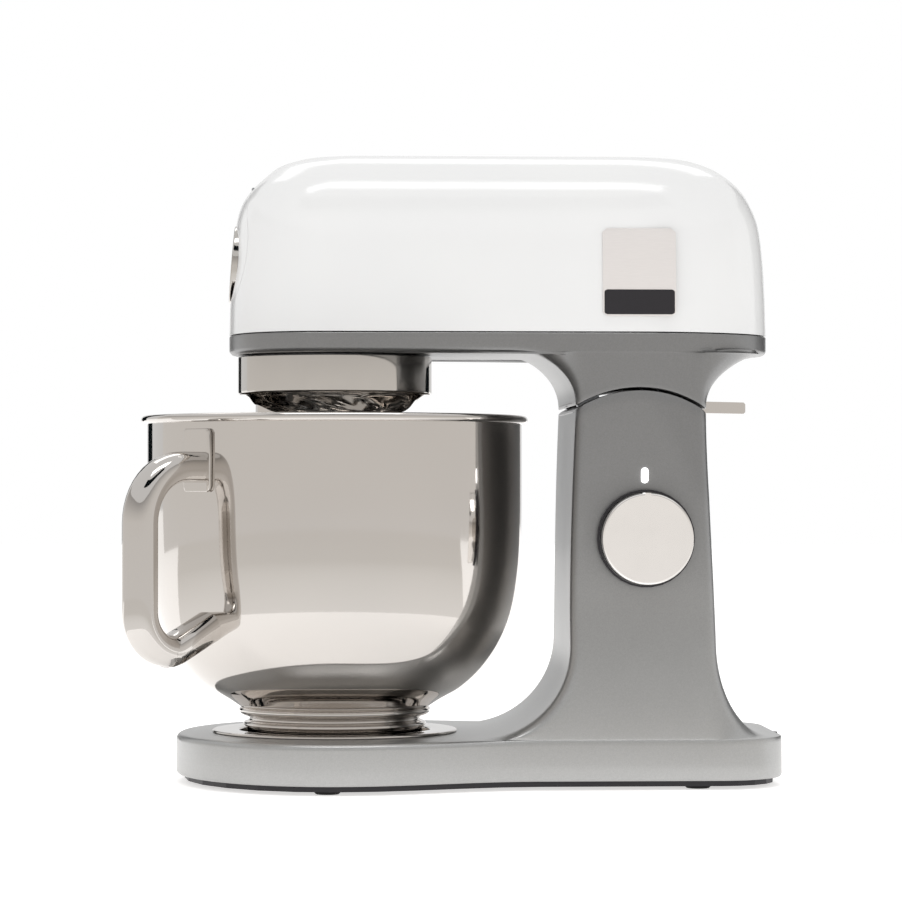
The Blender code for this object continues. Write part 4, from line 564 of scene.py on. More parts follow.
def rounded_profile(points, radii, steps=4):
    """A profile of straight lines with its corners rounded off."""
    made = [tuple(points[0])]
    for before, corner, after, radius in zip(points, points[1:], points[2:], radii):
        here, back, on = Vector(corner), Vector(before), Vector(after)
        reach = min(radius, (back - here).length * 0.49, (on - here).length * 0.49)
        start, stop = here + (back - here).normalized() * reach, here + (on - here).normalized() * reach
        for i in range(steps + 1):
            t = i / steps
            made.append(tuple(start * (1 - t) ** 2 + here * 2 * t * (1 - t) + stop * t * t))
    made.append(tuple(points[-1]))
    return made


def turned_rings(profile, sides, centre=(0.0, 0.0, 0.0), axis="z"):
    """Rings for a turned piece: radius and height pairs in millimetres."""
    rings = []
    cx, cy, cz = centre
    for radius, height in profile:
        r, h = radius * MM, height * MM
        ring = []
        for i in range(sides):
            turn = 2.0 * math.pi * i / sides
            u, v = r * math.cos(turn), r * math.sin(turn)
            ring.append({"z": (cx + u, cy + v, cz + h), "-y": (cx + u, cy - h, cz + v),
                         "x": (cx + h, cy + u, cz + v)}[axis])
        rings.append(ring)
    return rings


def mirrored(half):
    """A whole ring from its +Y half, whose first and last points are on the middle line."""
    return [(x * MM, y * MM, z * MM) for x, y, z in half] \
        + [(x * MM, -y * MM, z * MM) for x, y, z in reversed(half[1:-1])]


def pulled_in(outline, amount):
    """A half outline moved inwards; the amount may change along x."""
    points = np.array(outline, float)
    ahead = np.vstack([points[1:], points[-2] * (1, -1)])
    behind = np.vstack([points[1] * (1, -1), points[:-1]])
    along = ahead - behind
    length = np.hypot(along[:, 0], along[:, 1]) + 1e-12
    inward = np.stack([along[:, 1], -along[:, 0]], axis=1) / length[:, None]
    reach = np.array([amount(x) if callable(amount) else amount for x in points[:, 0]])
    moved = points + inward * reach[:, None]
    moved[0, 1] = 0.0
    moved[-1, 1] = 0.0
    return [tuple(p) for p in moved]


def at_height(outline, height):
    """A flat outline lifted to a height, which may change along x."""
    return [(x, y, height(x) if callable(height) else height) for x, y in outline]


def box_cutter(low, high):
    """A box between two corners in millimetres, to cut with."""
    bpy.ops.object.select_all(action="DESELECT")
    middle = [(a + b) / 2 * MM for a, b in zip(low, high)]
    bpy.ops.mesh.primitive_cube_add(size=1.0, location=middle)
    made = bpy.context.object
    made.scale = [(b - a) * MM for a, b in zip(low, high)]
    alone(made)
    bpy.ops.object.transform_apply(location=True, rotation=True, scale=True)
    return made


def round_cutter(radius, low, high, axis="z", centre=(0.0, 0.0, 0.0), sides=96):
    profile = [(radius, low), (radius, high)]
    return draw_out("cutter", turned_rings(profile, sides, centre, axis))


# %% [markdown]
# ## The stand
# Base and neck are one die-cast shell. Seen from above the base is an oval under the
# bowl that narrows to the neck. The neck's front runs out into the base in a wide
# quarter-ellipse, its sides only lean in a little, and the edge between the two is
# rounded: on the real stand that edge draws one bright line from the neck down to the
# front of the base. The top of the neck is a cylinder round the tilt pin.

# %% Measure the stand and the head's oval
# Lengths are millimetres from the bowl's axis and the floor, taken from the CAD boxes
# where they give them. The crown of the neck stays inside the head's oval.
base_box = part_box("base_casting")
BASE_FRONT, BASE_REAR = base_box[0].x / MM, base_box[1].x / MM
BASE_WIDE = base_box[1].y / MM
BASE_NARROW = 76.0
BASE_LOW, BASE_TOP = base_box[0].z / MM, 27.4
TAPER_END = 112.0
BASE_CORNER = 38.0
EDGE = 3.5
NECK_FRONT, NECK_REAR = 128.0, 205.0
NECK_SIDE, CROWN_SIDE = 61.0, 65.6
PIVOT_X, PIVOT_Z = 166.0, 152.8
PEDESTAL_ARC, HEAD_ARC = 64.8, 66.3
NECK_FOOT_REAR = 208.5
CROWN_FRONT, CROWN_REAR = NECK_FRONT + 3.0, NECK_REAR - 1.4
FRONT_CORNER, REAR_CORNER = 7.0, 9.0
FILLET_LONG, FILLET_REAR, FILLET_HIGH = 52.0, 33.0, 50.0
FOOT_OF_NECK = NECK_FRONT - FILLET_LONG
NOSE_POINTS, SIDE_POINTS, TAIL_POINTS = 28, 28, 26
FLANK_POINTS = 10
CASTING_WALL = 2.4
tray_box, cover_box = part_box("head_casting"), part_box("head_cover")
HEAD_FRONT, HEAD_REAR = tray_box[0].x / MM, tray_box[1].x / MM
HEAD_SIDE = tray_box[1].y / MM
NOSE, TAIL = 50.0, 80.0
ARM_BOTTOM = 238.5
RIM_Z, SEAM_Z, HEAD_TOP = tray_box[1].z / MM, cover_box[0].z / MM, cover_box[1].z / MM
print("base", round(BASE_REAR - BASE_FRONT, 1), "mm long, tilt pin at", (PIVOT_X, PIVOT_Z))

# %% Outlines of the base and neck


def base_side(x):
    """Half width of the base at x."""
    if x <= 0.0:
        return BASE_WIDE * math.sqrt(max(0.0, 1.0 - (x / BASE_FRONT) ** 2))
    return blend(BASE_WIDE, BASE_NARROW, 0.5 - 0.5 * math.cos(math.pi * min(1.0, x / TAPER_END)))


def base_outline():
    """The base's +Y half, from the middle of its nose round to the middle of its rear."""
    points = []
    oval = NOSE_POINTS - FLANK_POINTS
    for i in range(oval):
        turn = math.pi / 2 * i / oval
        points.append((BASE_FRONT * math.cos(turn), BASE_WIDE * math.sin(turn)))
    for i in range(FLANK_POINTS):
        x = FOOT_OF_NECK * i / FLANK_POINTS
        points.append((x, base_side(x)))
    for i in range(SIDE_POINTS):
        x = blend(FOOT_OF_NECK, BASE_REAR - BASE_CORNER, i / SIDE_POINTS)
        points.append((x, base_side(x)))
    corner = TAIL_POINTS // 2
    for i in range(corner):
        turn = math.pi / 2 * i / corner
        points.append((BASE_REAR - BASE_CORNER + BASE_CORNER * math.sin(turn),
                       BASE_NARROW - BASE_CORNER + BASE_CORNER * math.cos(turn)))
    for i in range(TAIL_POINTS - corner + 1):
        points.append((BASE_REAR, (BASE_NARROW - BASE_CORNER) * (1 - i / (TAIL_POINTS - corner))))
    return points


def head_side(x):
    """Half width of the head's oval at x."""
    if x > HEAD_REAR - TAIL:
        return HEAD_SIDE * math.sqrt(max(0.0, 1.0 - ((x - HEAD_REAR + TAIL) / TAIL) ** 2))
    return HEAD_SIDE


def neck_outline(front, rear, side, front_corner, rear_corner, rear_corner_y=None):
    """The neck's section: flat front and rear, rounded corners, and sides y = side(x)."""
    rear_y = rear_corner_y or rear_corner
    points = []
    flat = NOSE_POINTS // 2
    corner_side = side(front + front_corner)
    for i in range(flat):
        points.append((front, (corner_side - front_corner) * i / flat))
    for i in range(NOSE_POINTS - flat):
        turn = math.pi / 2 * i / (NOSE_POINTS - flat)
        points.append((front + front_corner * (1 - math.cos(turn)),
                       corner_side - front_corner * (1 - math.sin(turn))))
    for i in range(SIDE_POINTS):
        x = blend(front + front_corner, rear - rear_corner, i / SIDE_POINTS)
        points.append((x, side(x)))
    corner = TAIL_POINTS // 2
    corner_side = side(rear - rear_corner)
    for i in range(corner):
        turn = math.pi / 2 * i / corner
        points.append((rear - rear_corner * (1 - math.sin(turn)),
                       corner_side - rear_y * (1 - math.cos(turn))))
    for i in range(TAIL_POINTS - corner + 1):
        points.append((rear, (corner_side - rear_y) * (1 - i / (TAIL_POINTS - corner))))
    return points


def arc(radius):
    """Height on a cylinder round the tilt pin."""
    def height(x):
        across = min(abs(x - PIVOT_X), radius * 0.999)
        return PIVOT_Z + math.sqrt(radius * radius - across * across)
    return height


print("base outline:", len(base_outline()), "points a side")

# %% How the sides lean
LEAN_FROM, LEAN_RUN = 12.0, 98.0
EDGE_AWAY, EDGE_FADES_FROM, EDGE_FADE = 0.6, 50.0, 70.0
NECK_STARTS, NECK_RUN = 60.0, 50.0
TAIL_STARTS, TAIL_RUN = 205.0, 30.0


def lean(z):
    """1 at the base's side, falling to 0 at the waist of the neck."""
    return 1.0 - ease((z - LEAN_FROM) / LEAN_RUN)


def edge_here(x):
    """The base's top edge is rounded in front, and fades out beside the neck."""
    return blend(EDGE, EDGE_AWAY, ease((x - EDGE_FADES_FROM) / EDGE_FADE))


def stand_side(x, z):
    """Half width at x and height z: the base's side leans in to the neck's waist."""
    return blend(base_side(x), NECK_SIDE, (1.0 - lean(z)) * ease((x - NECK_STARTS) / NECK_RUN))


def leaning(outline, z):
    """The base's outline, with its rear sides leaning in as the neck's do."""
    fall = (BASE_NARROW - NECK_SIDE) * (1.0 - lean(z))
    return pulled_in(outline, lambda x: fall * ease((x - NECK_STARTS) / NECK_RUN)
                     * (1.0 - ease((x - TAIL_STARTS) / TAIL_RUN)))


# %% Rings of the base and its top edge
EDGE_STEPS = 8
outline = base_outline()
levels = [at_height(pulled_in(outline, 1.0), BASE_LOW), at_height(pulled_in(outline, 0.3), BASE_LOW + 0.7),
          at_height(outline, BASE_LOW + 1.8), at_height(outline, 14.0),
          at_height(leaning(outline, BASE_TOP - EDGE), BASE_TOP - EDGE)]
for k in range(1, EDGE_STEPS + 1):
    turn = math.pi / 2 * k / EDGE_STEPS
    height = BASE_TOP - EDGE * (1 - math.sin(turn))
    levels.append(at_height(pulled_in(leaning(outline, height),
                                      lambda x, t=turn: edge_here(x) * (1 - math.cos(t))), height))
print("base:", len(levels), "rings")

# %% Rings of the quarter-ellipse into the neck
RUN_STEPS = 20
FOOT_FRONT_CORNER, FOOT_REAR_CORNER = 12.0, 34.0
for k in range(RUN_STEPS + 1):
    turn = math.pi / 2 * k / RUN_STEPS
    out, rise = 1.0 - math.sin(turn), 1.0 - math.cos(turn)
    height = BASE_TOP + rise * FILLET_HIGH
    section = neck_outline(NECK_FRONT - FILLET_LONG * out, NECK_FOOT_REAR + FILLET_REAR * out,
                           lambda x, z=height, w=out: stand_side(x, z) - edge_here(x) * w,
                           blend(FRONT_CORNER, FOOT_FRONT_CORNER, out),
                           blend(REAR_CORNER, FOOT_REAR_CORNER, out))
    levels.append(at_height(section, height))
print("with the run-out:", len(levels), "rings")

# %% Rings of the neck and its crown
CROWN_STEPS = 22
INSIDE_HEAD, FREE_BELOW = 0.4, 9.0
LIP, LIP_MIDDLE = 0.8, 0.25
crown = arc(PEDESTAL_ARC)
shoulder = BASE_TOP + FILLET_HIGH
for k in range(1, CROWN_STEPS + 1):
    t = k / CROWN_STEPS
    middle = blend(shoulder, PIVOT_Z + PEDESTAL_ARC, t)
    wide = blend(NECK_SIDE + (BASE_NARROW - NECK_SIDE) * lean(middle), CROWN_SIDE, ease((t - 0.3) / 0.7))
    section = neck_outline(blend(NECK_FRONT, CROWN_FRONT, t * t), blend(NECK_FOOT_REAR, CROWN_REAR, ease(t)),
                           lambda x, w=wide, t=t: min(w, head_side(x) - INSIDE_HEAD + FREE_BELOW * (1 - t)),
                           FRONT_CORNER, REAR_CORNER)
    levels.append(at_height(section, lambda x, t=t: blend(shoulder, crown(x) - LIP, t)))
last_section = [(x, y) for x, y, z in levels[-1]]
levels.append(at_height(pulled_in(last_section, LIP_MIDDLE), lambda x: crown(x) - LIP_MIDDLE))
levels.append(at_height(pulled_in(last_section, LIP), crown))
print("with the neck:", len(levels), "rings")

# %% Draw the stand
# The well under the bowl takes the seat, and two slots in the crown take the hinge arms.
WELL_RADIUS = 57.0
SLOT_IN, SLOT_OUT = 33.0, 43.0
stand = draw_out("stand_casting", [mirrored(half) for half in levels], first="open", last="across")
apply_modifier(stand, "SOLIDIFY", thickness=CASTING_WALL * MM, offset=-1.0)
carve(stand, round_cutter(WELL_RADIUS, 12.0, 40.0))
for side in (-1, 1):
    low, high = sorted((side * SLOT_IN, side * SLOT_OUT))
    carve(stand, box_cutter((133.5, low, 190.0), (200.0, high, 230.0)))
finish_piece(stand, "silver_paint", "stand", ["base_casting"])

# %% [markdown]
# ## The head
# The head is a silver tray below and a white cover above, with a fine seam between. The
# tray's underside drops into the neck through a quarter-round, and on the two flat
# sides the tray and neck are one plain face. The cover's upright sides roll over into a
# nearly flat top, and its nose carries a round door over the front drive outlet.

# %% The head's oval


def oval_outline(front, rear, half, nose, tail):
    """The head's +Y half: an oval nose and tail of their own lengths, joined by a flat side."""
    points = []
    for i in range(NOSE_POINTS):
        turn = math.pi / 2 * i / NOSE_POINTS
        points.append((front + nose * (1 - math.cos(turn)), half * math.sin(turn)))
    for i in range(SIDE_POINTS):
        points.append((blend(front + nose, rear - tail, i / SIDE_POINTS), half))
    for i in range(TAIL_POINTS + 1):
        turn = math.pi / 2 * i / TAIL_POINTS
        points.append((rear - tail * (1 - math.sin(turn)), half * math.cos(turn)))
    return points


# %% Draw the tray
TRAY_EDGE, TRAY_EDGE_STEPS, UNDER_STEPS = 3.0, 6, 20
FLAT_FROM, FLAT_FADE, FLAT_TO, FLAT_FADE_OUT = 92.0, 22.0, 196.0, 30.0
RUN_FRONT, RUN_REAR = 26.0, 34.0
ARM_FRONT_CORNER, ARM_REAR_CORNER, ARM_REAR_CORNER_Y = 26.0, 40.0, 34.0
SHAFT_HOLE = 20.0


def tray_edge(x):
    """The lower edge is rounded, except where the flat sides run down into the neck."""
    flat = ease((x - FLAT_FROM) / FLAT_FADE) * (1.0 - ease((x - FLAT_TO) / FLAT_FADE_OUT))
    return TRAY_EDGE * (1.0 - flat)


oval = oval_outline(HEAD_FRONT, HEAD_REAR, HEAD_SIDE, NOSE, TAIL)
levels = [at_height(pulled_in(oval, 0.3), RIM_Z), at_height(oval, RIM_Z - 0.4),
          at_height(oval, ARM_BOTTOM + TRAY_EDGE)]
for k in range(1, TRAY_EDGE_STEPS + 1):
    turn = math.pi / 2 * k / TRAY_EDGE_STEPS
    levels.append(at_height(pulled_in(oval, lambda x, t=turn: tray_edge(x) * (1 - math.cos(t))),
                            ARM_BOTTOM + TRAY_EDGE * (1 - math.sin(turn))))
under = arc(HEAD_ARC)
for k in range(UNDER_STEPS + 1):
    turn = math.pi / 2 * (1 - k / UNDER_STEPS)
    out, rise = 1.0 - math.cos(turn), math.sin(turn)
    section = neck_outline(CROWN_FRONT - RUN_FRONT * out, CROWN_REAR + RUN_REAR * out,
                           lambda x, w=out: min(HEAD_SIDE, head_side(x)) - INSIDE_HEAD * (1 - w),
                           blend(FRONT_CORNER, ARM_FRONT_CORNER, out),
                           blend(REAR_CORNER, ARM_REAR_CORNER, out),
                           blend(REAR_CORNER, ARM_REAR_CORNER_Y, out))
    levels.append(at_height(section, lambda x, r=rise: blend(under(x) + LIP, ARM_BOTTOM, r)))
last_section = [(x, y) for x, y, z in levels[-1]]
levels.append(at_height(pulled_in(last_section, LIP_MIDDLE), lambda x: under(x) + LIP_MIDDLE))
levels.append(at_height(pulled_in(last_section, LIP), under))
tray = draw_out("head_tray", [mirrored(half) for half in levels], first="open", last="across")
apply_modifier(tray, "SOLIDIFY", thickness=CASTING_WALL * MM, offset=-1.0)
carve(tray, round_cutter(SHAFT_HOLE, 200.0, 260.0))
finish_piece(tray, "silver_paint", "head", ["head_casting"])

# %% [markdown]
# ### White cover and its door
# The cover and the door in its nose are the same skin, parted by a round cut. So the
# skin is drawn twice, the cutter is taken out of one copy and kept in the other.

# %% Draw the skin of the cover
# Each level: its share of the height, how far it stands in from the front and from the
# rear in millimetres, and its share of the half width.
COVER_LEVELS = [
    (0.000, 0.0, 0.0, 1.000), (0.183, 0.5, 0.5, 0.997), (0.381, 2.0, 1.5, 0.985),
    (0.540, 3.3, 3.1, 0.955), (0.640, 4.3, 5.1, 0.918), (0.734, 7.3, 9.0, 0.864),
    (0.813, 12.7, 14.1, 0.788), (0.883, 20.3, 21.5, 0.682), (0.943, 28.3, 31.5, 0.545),
    (0.983, 41.3, 43.5, 0.379), (1.000, 55.3, 55.5, 0.182)]
COVER_WALL, TOP_MIDDLE = 2.6, 84.0
OUTLET_Z, OUTLET_RADIUS, SEAM = 296.0, 34.5, 0.45
DISC_Z, DISC_RADIUS = 289.6, 22.0


def cover_skin(name):
    """The whole white skin with its wall, closed over the top and open below."""
    levels = []
    for rise, front_in, rear_in, share in through(COVER_LEVELS, 6):
        levels.append(at_height(
            oval_outline(HEAD_FRONT + front_in, HEAD_REAR - rear_in, HEAD_SIDE * share,
                         NOSE * (0.35 + 0.65 * share), TAIL * (0.25 + 0.75 * share)),
            min(blend(SEAM_Z, HEAD_TOP, rise), HEAD_TOP)))
    inner = [(x * 0.55 + TOP_MIDDLE * 0.45, y * 0.5, HEAD_TOP) for x, y, z in levels[-1]]
    levels.append(inner)
    skin = draw_out(name, [mirrored(half) for half in levels], first="open", last="across")
    apply_modifier(skin, "SOLIDIFY", thickness=COVER_WALL * MM, offset=-1.0, use_even_offset=True,
                   thickness_clamp=1.0)
    return skin


def nose_cutter(radius, z):
    """A round cutter that passes through the nose of the skin alone, along x."""
    return round_cutter(radius, -80.0, -20.0, "x", (0.0, 0.0, z * MM))


# %% Part the cover and the door
cover = cover_skin("white_cover")
carve(cover, nose_cutter(OUTLET_RADIUS + SEAM, OUTLET_Z))
finish_piece(cover, "white_enamel", "head", ["head_cover"])

door = cover_skin("outlet_door")
carve(door, nose_cutter(OUTLET_RADIUS, OUTLET_Z), "INTERSECT")
carve(door, nose_cutter(DISC_RADIUS + SEAM, DISC_Z))
finish_piece(door, "white_enamel", "door", ["outlet_cover"])

# %% [markdown]
# ### The disc in the door
# A polished metal button fills the hole in the door. It is a turned disc with a raised
# lip, so a profile goes round the x axis, and it leans back with the nose.

# %% Draw the plain disc
DISC_LEAN, DISC_X = 4.6, -57.7
disc_lip = [(0.0, 0.9), (17.0, 0.7), (18.6, 0.0), (20.8, -0.2), (21.7, 0.1), (22.0, 0.9)]
disc_back = [(22.0, 3.4), (0.0, 3.4)]
disc = draw_out("outlet_disc", turned_rings(through(disc_lip, 3) + disc_back, 96, axis="x"))
disc.rotation_euler = (0.0, math.radians(DISC_LEAN), 0.0)
disc.location = (DISC_X * MM, 0.0, DISC_Z * MM)
finish_piece(disc, "drum_metal", "door", ["outlet_cover_disc"])

# %% [markdown]
# ## The bowl
# The bowl is spun from stainless sheet: straight upper sides, a round lower flank and a
# rim rolled outwards into a bead. A stepped foot ring is pressed on below it and locks
# into the seat. All of it is turned, so the same profile goes round in many fine steps,
# which a mirror finish needs.

# %% Draw the bowl
bowl_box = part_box("bowl")
RIM_TOP, BOWL_FLOOR = bowl_box[1].z / MM, bowl_box[0].z / MM
BOWL_WALL, BEAD, BEAD_IN = 1.2, 2.3, 0.02
BOWL_RADIUS = bowl_box[1].x / MM - BOWL_WALL - BEAD
FLAT_RADIUS, BEAD_STEPS = 30.0, 12
# Shares of the radius and of the height, from the foot to the straight side.
BOWL_CURVE = [(0.451, 0.0), (0.553, 0.043), (0.687, 0.091), (0.797, 0.156), (0.887, 0.241),
              (0.949, 0.347), (0.985, 0.493), (0.998, 0.652), (1.0, 0.82), (1.0, 1.0)]
bowl_top = RIM_TOP - 2 * BEAD
outside = [(share * BOWL_RADIUS, blend(BOWL_FLOOR, bowl_top, rise)) for share, rise in BOWL_CURVE]
outside = [(min(r, BOWL_RADIUS), z) for r, z in through(outside, 7)]
bead = []
for k in range(BEAD_STEPS + 1):
    turn = math.radians(-115.0 + 270.0 * k / BEAD_STEPS)
    bead.append((BOWL_RADIUS + BOWL_WALL + BEAD * math.cos(turn) - BEAD_IN,
                 RIM_TOP - BEAD + BEAD * math.sin(turn)))
inside = []
for i, (r, z) in enumerate(outside):
    ahead, behind = outside[min(i + 1, len(outside) - 1)], outside[max(i - 1, 0)]
    along = Vector((ahead[0] - behind[0], ahead[1] - behind[1])).normalized()
    inside.append((r - BOWL_WALL * along.y, z + BOWL_WALL * along.x))
profile = [(0.0, BOWL_FLOOR), (FLAT_RADIUS, BOWL_FLOOR)] + outside + bead + inside[::-1]
profile += [(FLAT_RADIUS, BOWL_FLOOR + BOWL_WALL), (0.0, BOWL_FLOOR + BOWL_WALL)]
bowl = draw_out("bowl_shell", turned_rings(profile, 144), first="open", last="open")
finish_piece(bowl, "polished_steel", "bowl", ["bowl"])

# %% [markdown]
# ### Foot ring and seat
# The foot is a ring of pressed steel with two rolled steps, and the seat is a shallow cup
# in the base with a flange on top, into which the foot locks. Both are turned: their
# corners are given as on a drawing and then rounded, because a press leaves no sharp one.

# %% Draw the bowl's foot
foot_profile = [(43.0, 21.0), (48.0, 21.0), (49.0, 22.0), (49.0, 30.2), (50.8, 31.0), (51.4, 32.2),
                (50.8, 33.4), (48.6, 34.0), (47.8, 35.4), (48.6, 36.6), (51.2, 37.0), (53.4, 38.4),
                (54.0, 40.0), (53.2, 41.4), (50.5, 41.6), (47.0, 37.6), (43.0, 37.6), (43.0, 21.0)]
foot = draw_out("bowl_foot_ring", turned_rings(rounded_profile(foot_profile, [0.8] * 16, 3), 128),
                first="open", last="open")
finish_piece(foot, "polished_steel", "bowl", ["bowl_foot"])

# %% Draw the seat
seat_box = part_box("bowl_seat")
seat_top, seat_out = seat_box[1].z / MM, seat_box[1].x / MM
flange = BASE_TOP + 0.2
seat_profile = [(0.0, 19.0), (55.0, 19.0), (56.4, 20.0), (56.4, flange), (seat_out, flange),
                (seat_out, seat_top - 0.5), (seat_out - 0.6, seat_top), (54.4, seat_top),
                (53.4, seat_top - 0.6), (53.4, 21.4), (52.0, 20.6), (0.0, 20.6)]
seat = draw_out("bayonet_seat", turned_rings(rounded_profile(seat_profile, [0.4] * 10, 3), 128),
                first="open", last="open")
finish_piece(seat, "polished_steel", "stand", ["bowl_seat"])

# %% [markdown]
# ### The bowl's handle
# A thick polished bar is bent into a D, stands off the bowl on its mounting plate, and
# comes back to the lower flank. Its section is a soft rectangle, so it is drawn along a
# path with round corners.

# %% Helpers for the handle


def bent_path(points, radii, steps):
    """Straight runs joined by round corners, with points along the runs too."""
    path = [Vector(points[0])]
    for before, corner, after, radius in zip(points, points[1:], points[2:], radii):
        here = Vector(corner)
        arrive, leave = (here - Vector(before)).normalized(), (Vector(after) - here).normalized()
        bend = arrive.angle(leave)
        start = here - arrive * radius * math.tan(bend / 2)
        centre = here + (leave - arrive).normalized() * (radius / math.cos(bend / 2))
        turn_axis = arrive.cross(leave).normalized()
        gap = start - path[-1]
        path += [path[-1] + gap * (i / 4) for i in range(1, 4)]
        path += [centre + Matrix.Rotation(bend * i / steps, 3, turn_axis) @ (start - centre)
                 for i in range(steps + 1)]
    gap = Vector(points[-1]) - path[-1]
    return path + [path[-1] + gap * (i / 4) for i in range(1, 5)]


def soft_section(half_wide, half_thick, sides, power=2.6):
    """A rounded rectangle as a superellipse."""
    made = []
    for i in range(sides):
        turn = 2 * math.pi * i / sides
        c, s = math.cos(turn), math.sin(turn)
        made.append((math.copysign(abs(c) ** (2 / power), c) * half_wide,
                     math.copysign(abs(s) ** (2 / power), s) * half_thick))
    return made

# %% Draw the handle
HANDLE_TURN = math.radians(225.0)
HANDLE_TOP, HANDLE_LOW = 175.3, 76.5
HANDLE_WIDE, HANDLE_THICK = 9.4, 8.4
handle_out = BOWL_RADIUS + 42.6
path = bent_path([(BOWL_RADIUS - 0.4, 0.0, HANDLE_TOP), (handle_out, 0.0, HANDLE_TOP),
                  (handle_out, 0.0, HANDLE_LOW), (handle_out - 22.0, 0.0, HANDLE_LOW),
                  (95.0, 0.0, 90.2)], (30.0, 22.0, 16.0), 12)
section = soft_section(HANDLE_WIDE, HANDLE_THICK, 40)
rings = []
across = Vector((0.0, 1.0, 0.0))
to_place = Matrix.Rotation(HANDLE_TURN, 4, "Z")
for i, point in enumerate(path):
    along = (path[min(i + 1, len(path) - 1)] - path[max(i - 1, 0)]).normalized()
    up = along.cross(across).normalized()
    rings.append([to_place @ ((point + across * a + up * b) * MM) for a, b in section])
handle = draw_out("handle_bar", rings)
finish_piece(handle, "polished_steel", "bowl", ["bowl_handle"])

# %% [markdown]
# ### The handle's mounting plate
# A plate is welded to the bowl behind the top of the handle and follows its curve. So
# each ring of it runs along the bowl's wall and back a little further out, and a small
# Bevel breaks the edges.

# %% Draw the mounting plate
PLATE_BACK, PLATE_FACE = 0.3, 2.4
PLATE_LEVELS = [(162.0, 8.0), (163.0, 9.4), (165.0, 10.2), (180.0, 10.4), (194.0, 10.2), (195.6, 9.2),
                (196.2, 8.0)]
there = np.linspace(-1.0, 1.0, 9)
plate_rings = []
for z, reach in PLATE_LEVELS:
    ring = []
    for out, spans in ((PLATE_BACK, there), (PLATE_FACE, np.linspace(1.0, -1.0, 9))):
        for share in spans:
            turn = HANDLE_TURN + share * reach / BOWL_RADIUS
            r = (BOWL_RADIUS + out) * MM
            ring.append((r * math.cos(turn), r * math.sin(turn), z * MM))
    plate_rings.append(ring)
plate = draw_out("handle_mount", plate_rings)
apply_modifier(plate, "BEVEL", width=0.5 * MM, segments=3, limit_method="ANGLE",
               angle_limit=math.radians(50.0))
finish_piece(plate, "polished_steel", "bowl", ["handle_plate"])

# %% [markdown]
# ## The planet drum
# The drum turns under the head and carries the tool off centre. It is a polished casting:
# a plain rim, and a conical underside with ribs that swirl out from the middle. It is
# turned from its profile, and then the cone's rings are pushed down in a wave that winds
# round as it goes outwards, which a turned profile alone can't give.

# %% Profile of the drum
drum_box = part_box("planet_drum")
DRUM_RADIUS, DRUM_TOP = drum_box[1].x / MM, drum_box[1].z / MM
DRUM_LOW, CONE_LOW = 216.7, drum_box[0].z / MM
BORE, inner_radius, inner_low = 5.3, DRUM_RADIUS - 2.4, DRUM_LOW + 3.4
drum_profile = [(BORE, CONE_LOW), (33.0, CONE_LOW), (37.0, CONE_LOW + 1.6), (49.5, DRUM_LOW - 0.8),
                (DRUM_RADIUS - 0.4, DRUM_LOW - 0.2), (DRUM_RADIUS, DRUM_LOW + 1.2),
                (DRUM_RADIUS, DRUM_TOP - 0.4), (DRUM_RADIUS - 0.4, DRUM_TOP), (inner_radius, DRUM_TOP),
                (inner_radius, inner_low), (BORE, inner_low), (BORE, CONE_LOW)]
drum_line = rounded_profile(drum_profile, [1.0, 2.0, 3.0, 1.0, 1.0, 0.3, 0.3, 0.3, 1.5, 0.2], 4)
cone = [i for i, (r, z) in enumerate(drum_line) if 36.5 < r < 49.6 and z < DRUM_LOW]
cone_in, cone_out = drum_line[cone[0]], drum_line[cone[-1]]
drum_line[cone[0] + 1:cone[-1]] = [(blend(cone_in[0], cone_out[0], t), blend(cone_in[1], cone_out[1], t))
                                   for t in np.linspace(0.0, 1.0, 15)[1:-1]]
print("drum profile:", len(drum_line), "points")

# %% Draw the drum with its swirling ribs
SWIRLS, SWIRL_DEEP, SWIRL_WIND, SWIRL_OUT = 9, 1.3, 4.6, 0.35
TOOL_PLACE = (-0.030, 0.0, 0.0)
drum_rings = turned_rings(drum_line, 180)
for ring, (radius, height) in zip(drum_rings, drum_line):
    along = (radius - cone_in[0]) / (cone_out[0] - cone_in[0])
    if not (0.0 < along < 1.0 and height < DRUM_LOW):
        continue
    swell = SWIRL_DEEP * math.sin(math.pi * along) ** 0.7
    for i in range(len(ring)):
        phase = SWIRLS * 2 * math.pi * i / len(ring) + SWIRL_WIND * along
        rib = (0.5 + 0.5 * math.cos(phase)) ** 2
        x, y, z = ring[i]
        wider = 1 + SWIRL_OUT * swell * rib / radius
        ring[i] = (x * wider, y * wider, z - swell * rib * MM)
drum = draw_out("drum_shell", drum_rings, first="open", last="open")
carve(drum, round_cutter(15.0, 200.0, 214.3, "z", TOOL_PLACE))
carve(drum, round_cutter(9.4, 200.0, 226.0, "z", TOOL_PLACE))
finish_piece(drum, "drum_metal", "planet", ["planet_drum"])

# %% [markdown]
# ## The speed knob
# The knob is a turned cap with a bright nickel plate, lighter than the bowl's steel, and
# a small notch marks its top. The front face gets rings of its own near the edge, so that
# smooth shading doesn't bend the flat face.

# %% Nickel plate
nickel, shader, place = new_finish("polished_nickel_plate", 0.07, metallic=1.0)
cloud = add(nickel, "ShaderNodeTexNoise", {"Scale": grains(12.0), "Detail": 2.0}, {"Vector": place})
mottle(nickel, shader, cloud.outputs["Fac"], "#FAF7F4", "#F4F1EE")
vary_gloss(nickel, shader, cloud.outputs["Fac"], 0.05, 0.10)
relief(nickel, shader, cloud.outputs["Fac"], 0.004, 0.1)
print("knob finish:", nickel.name)

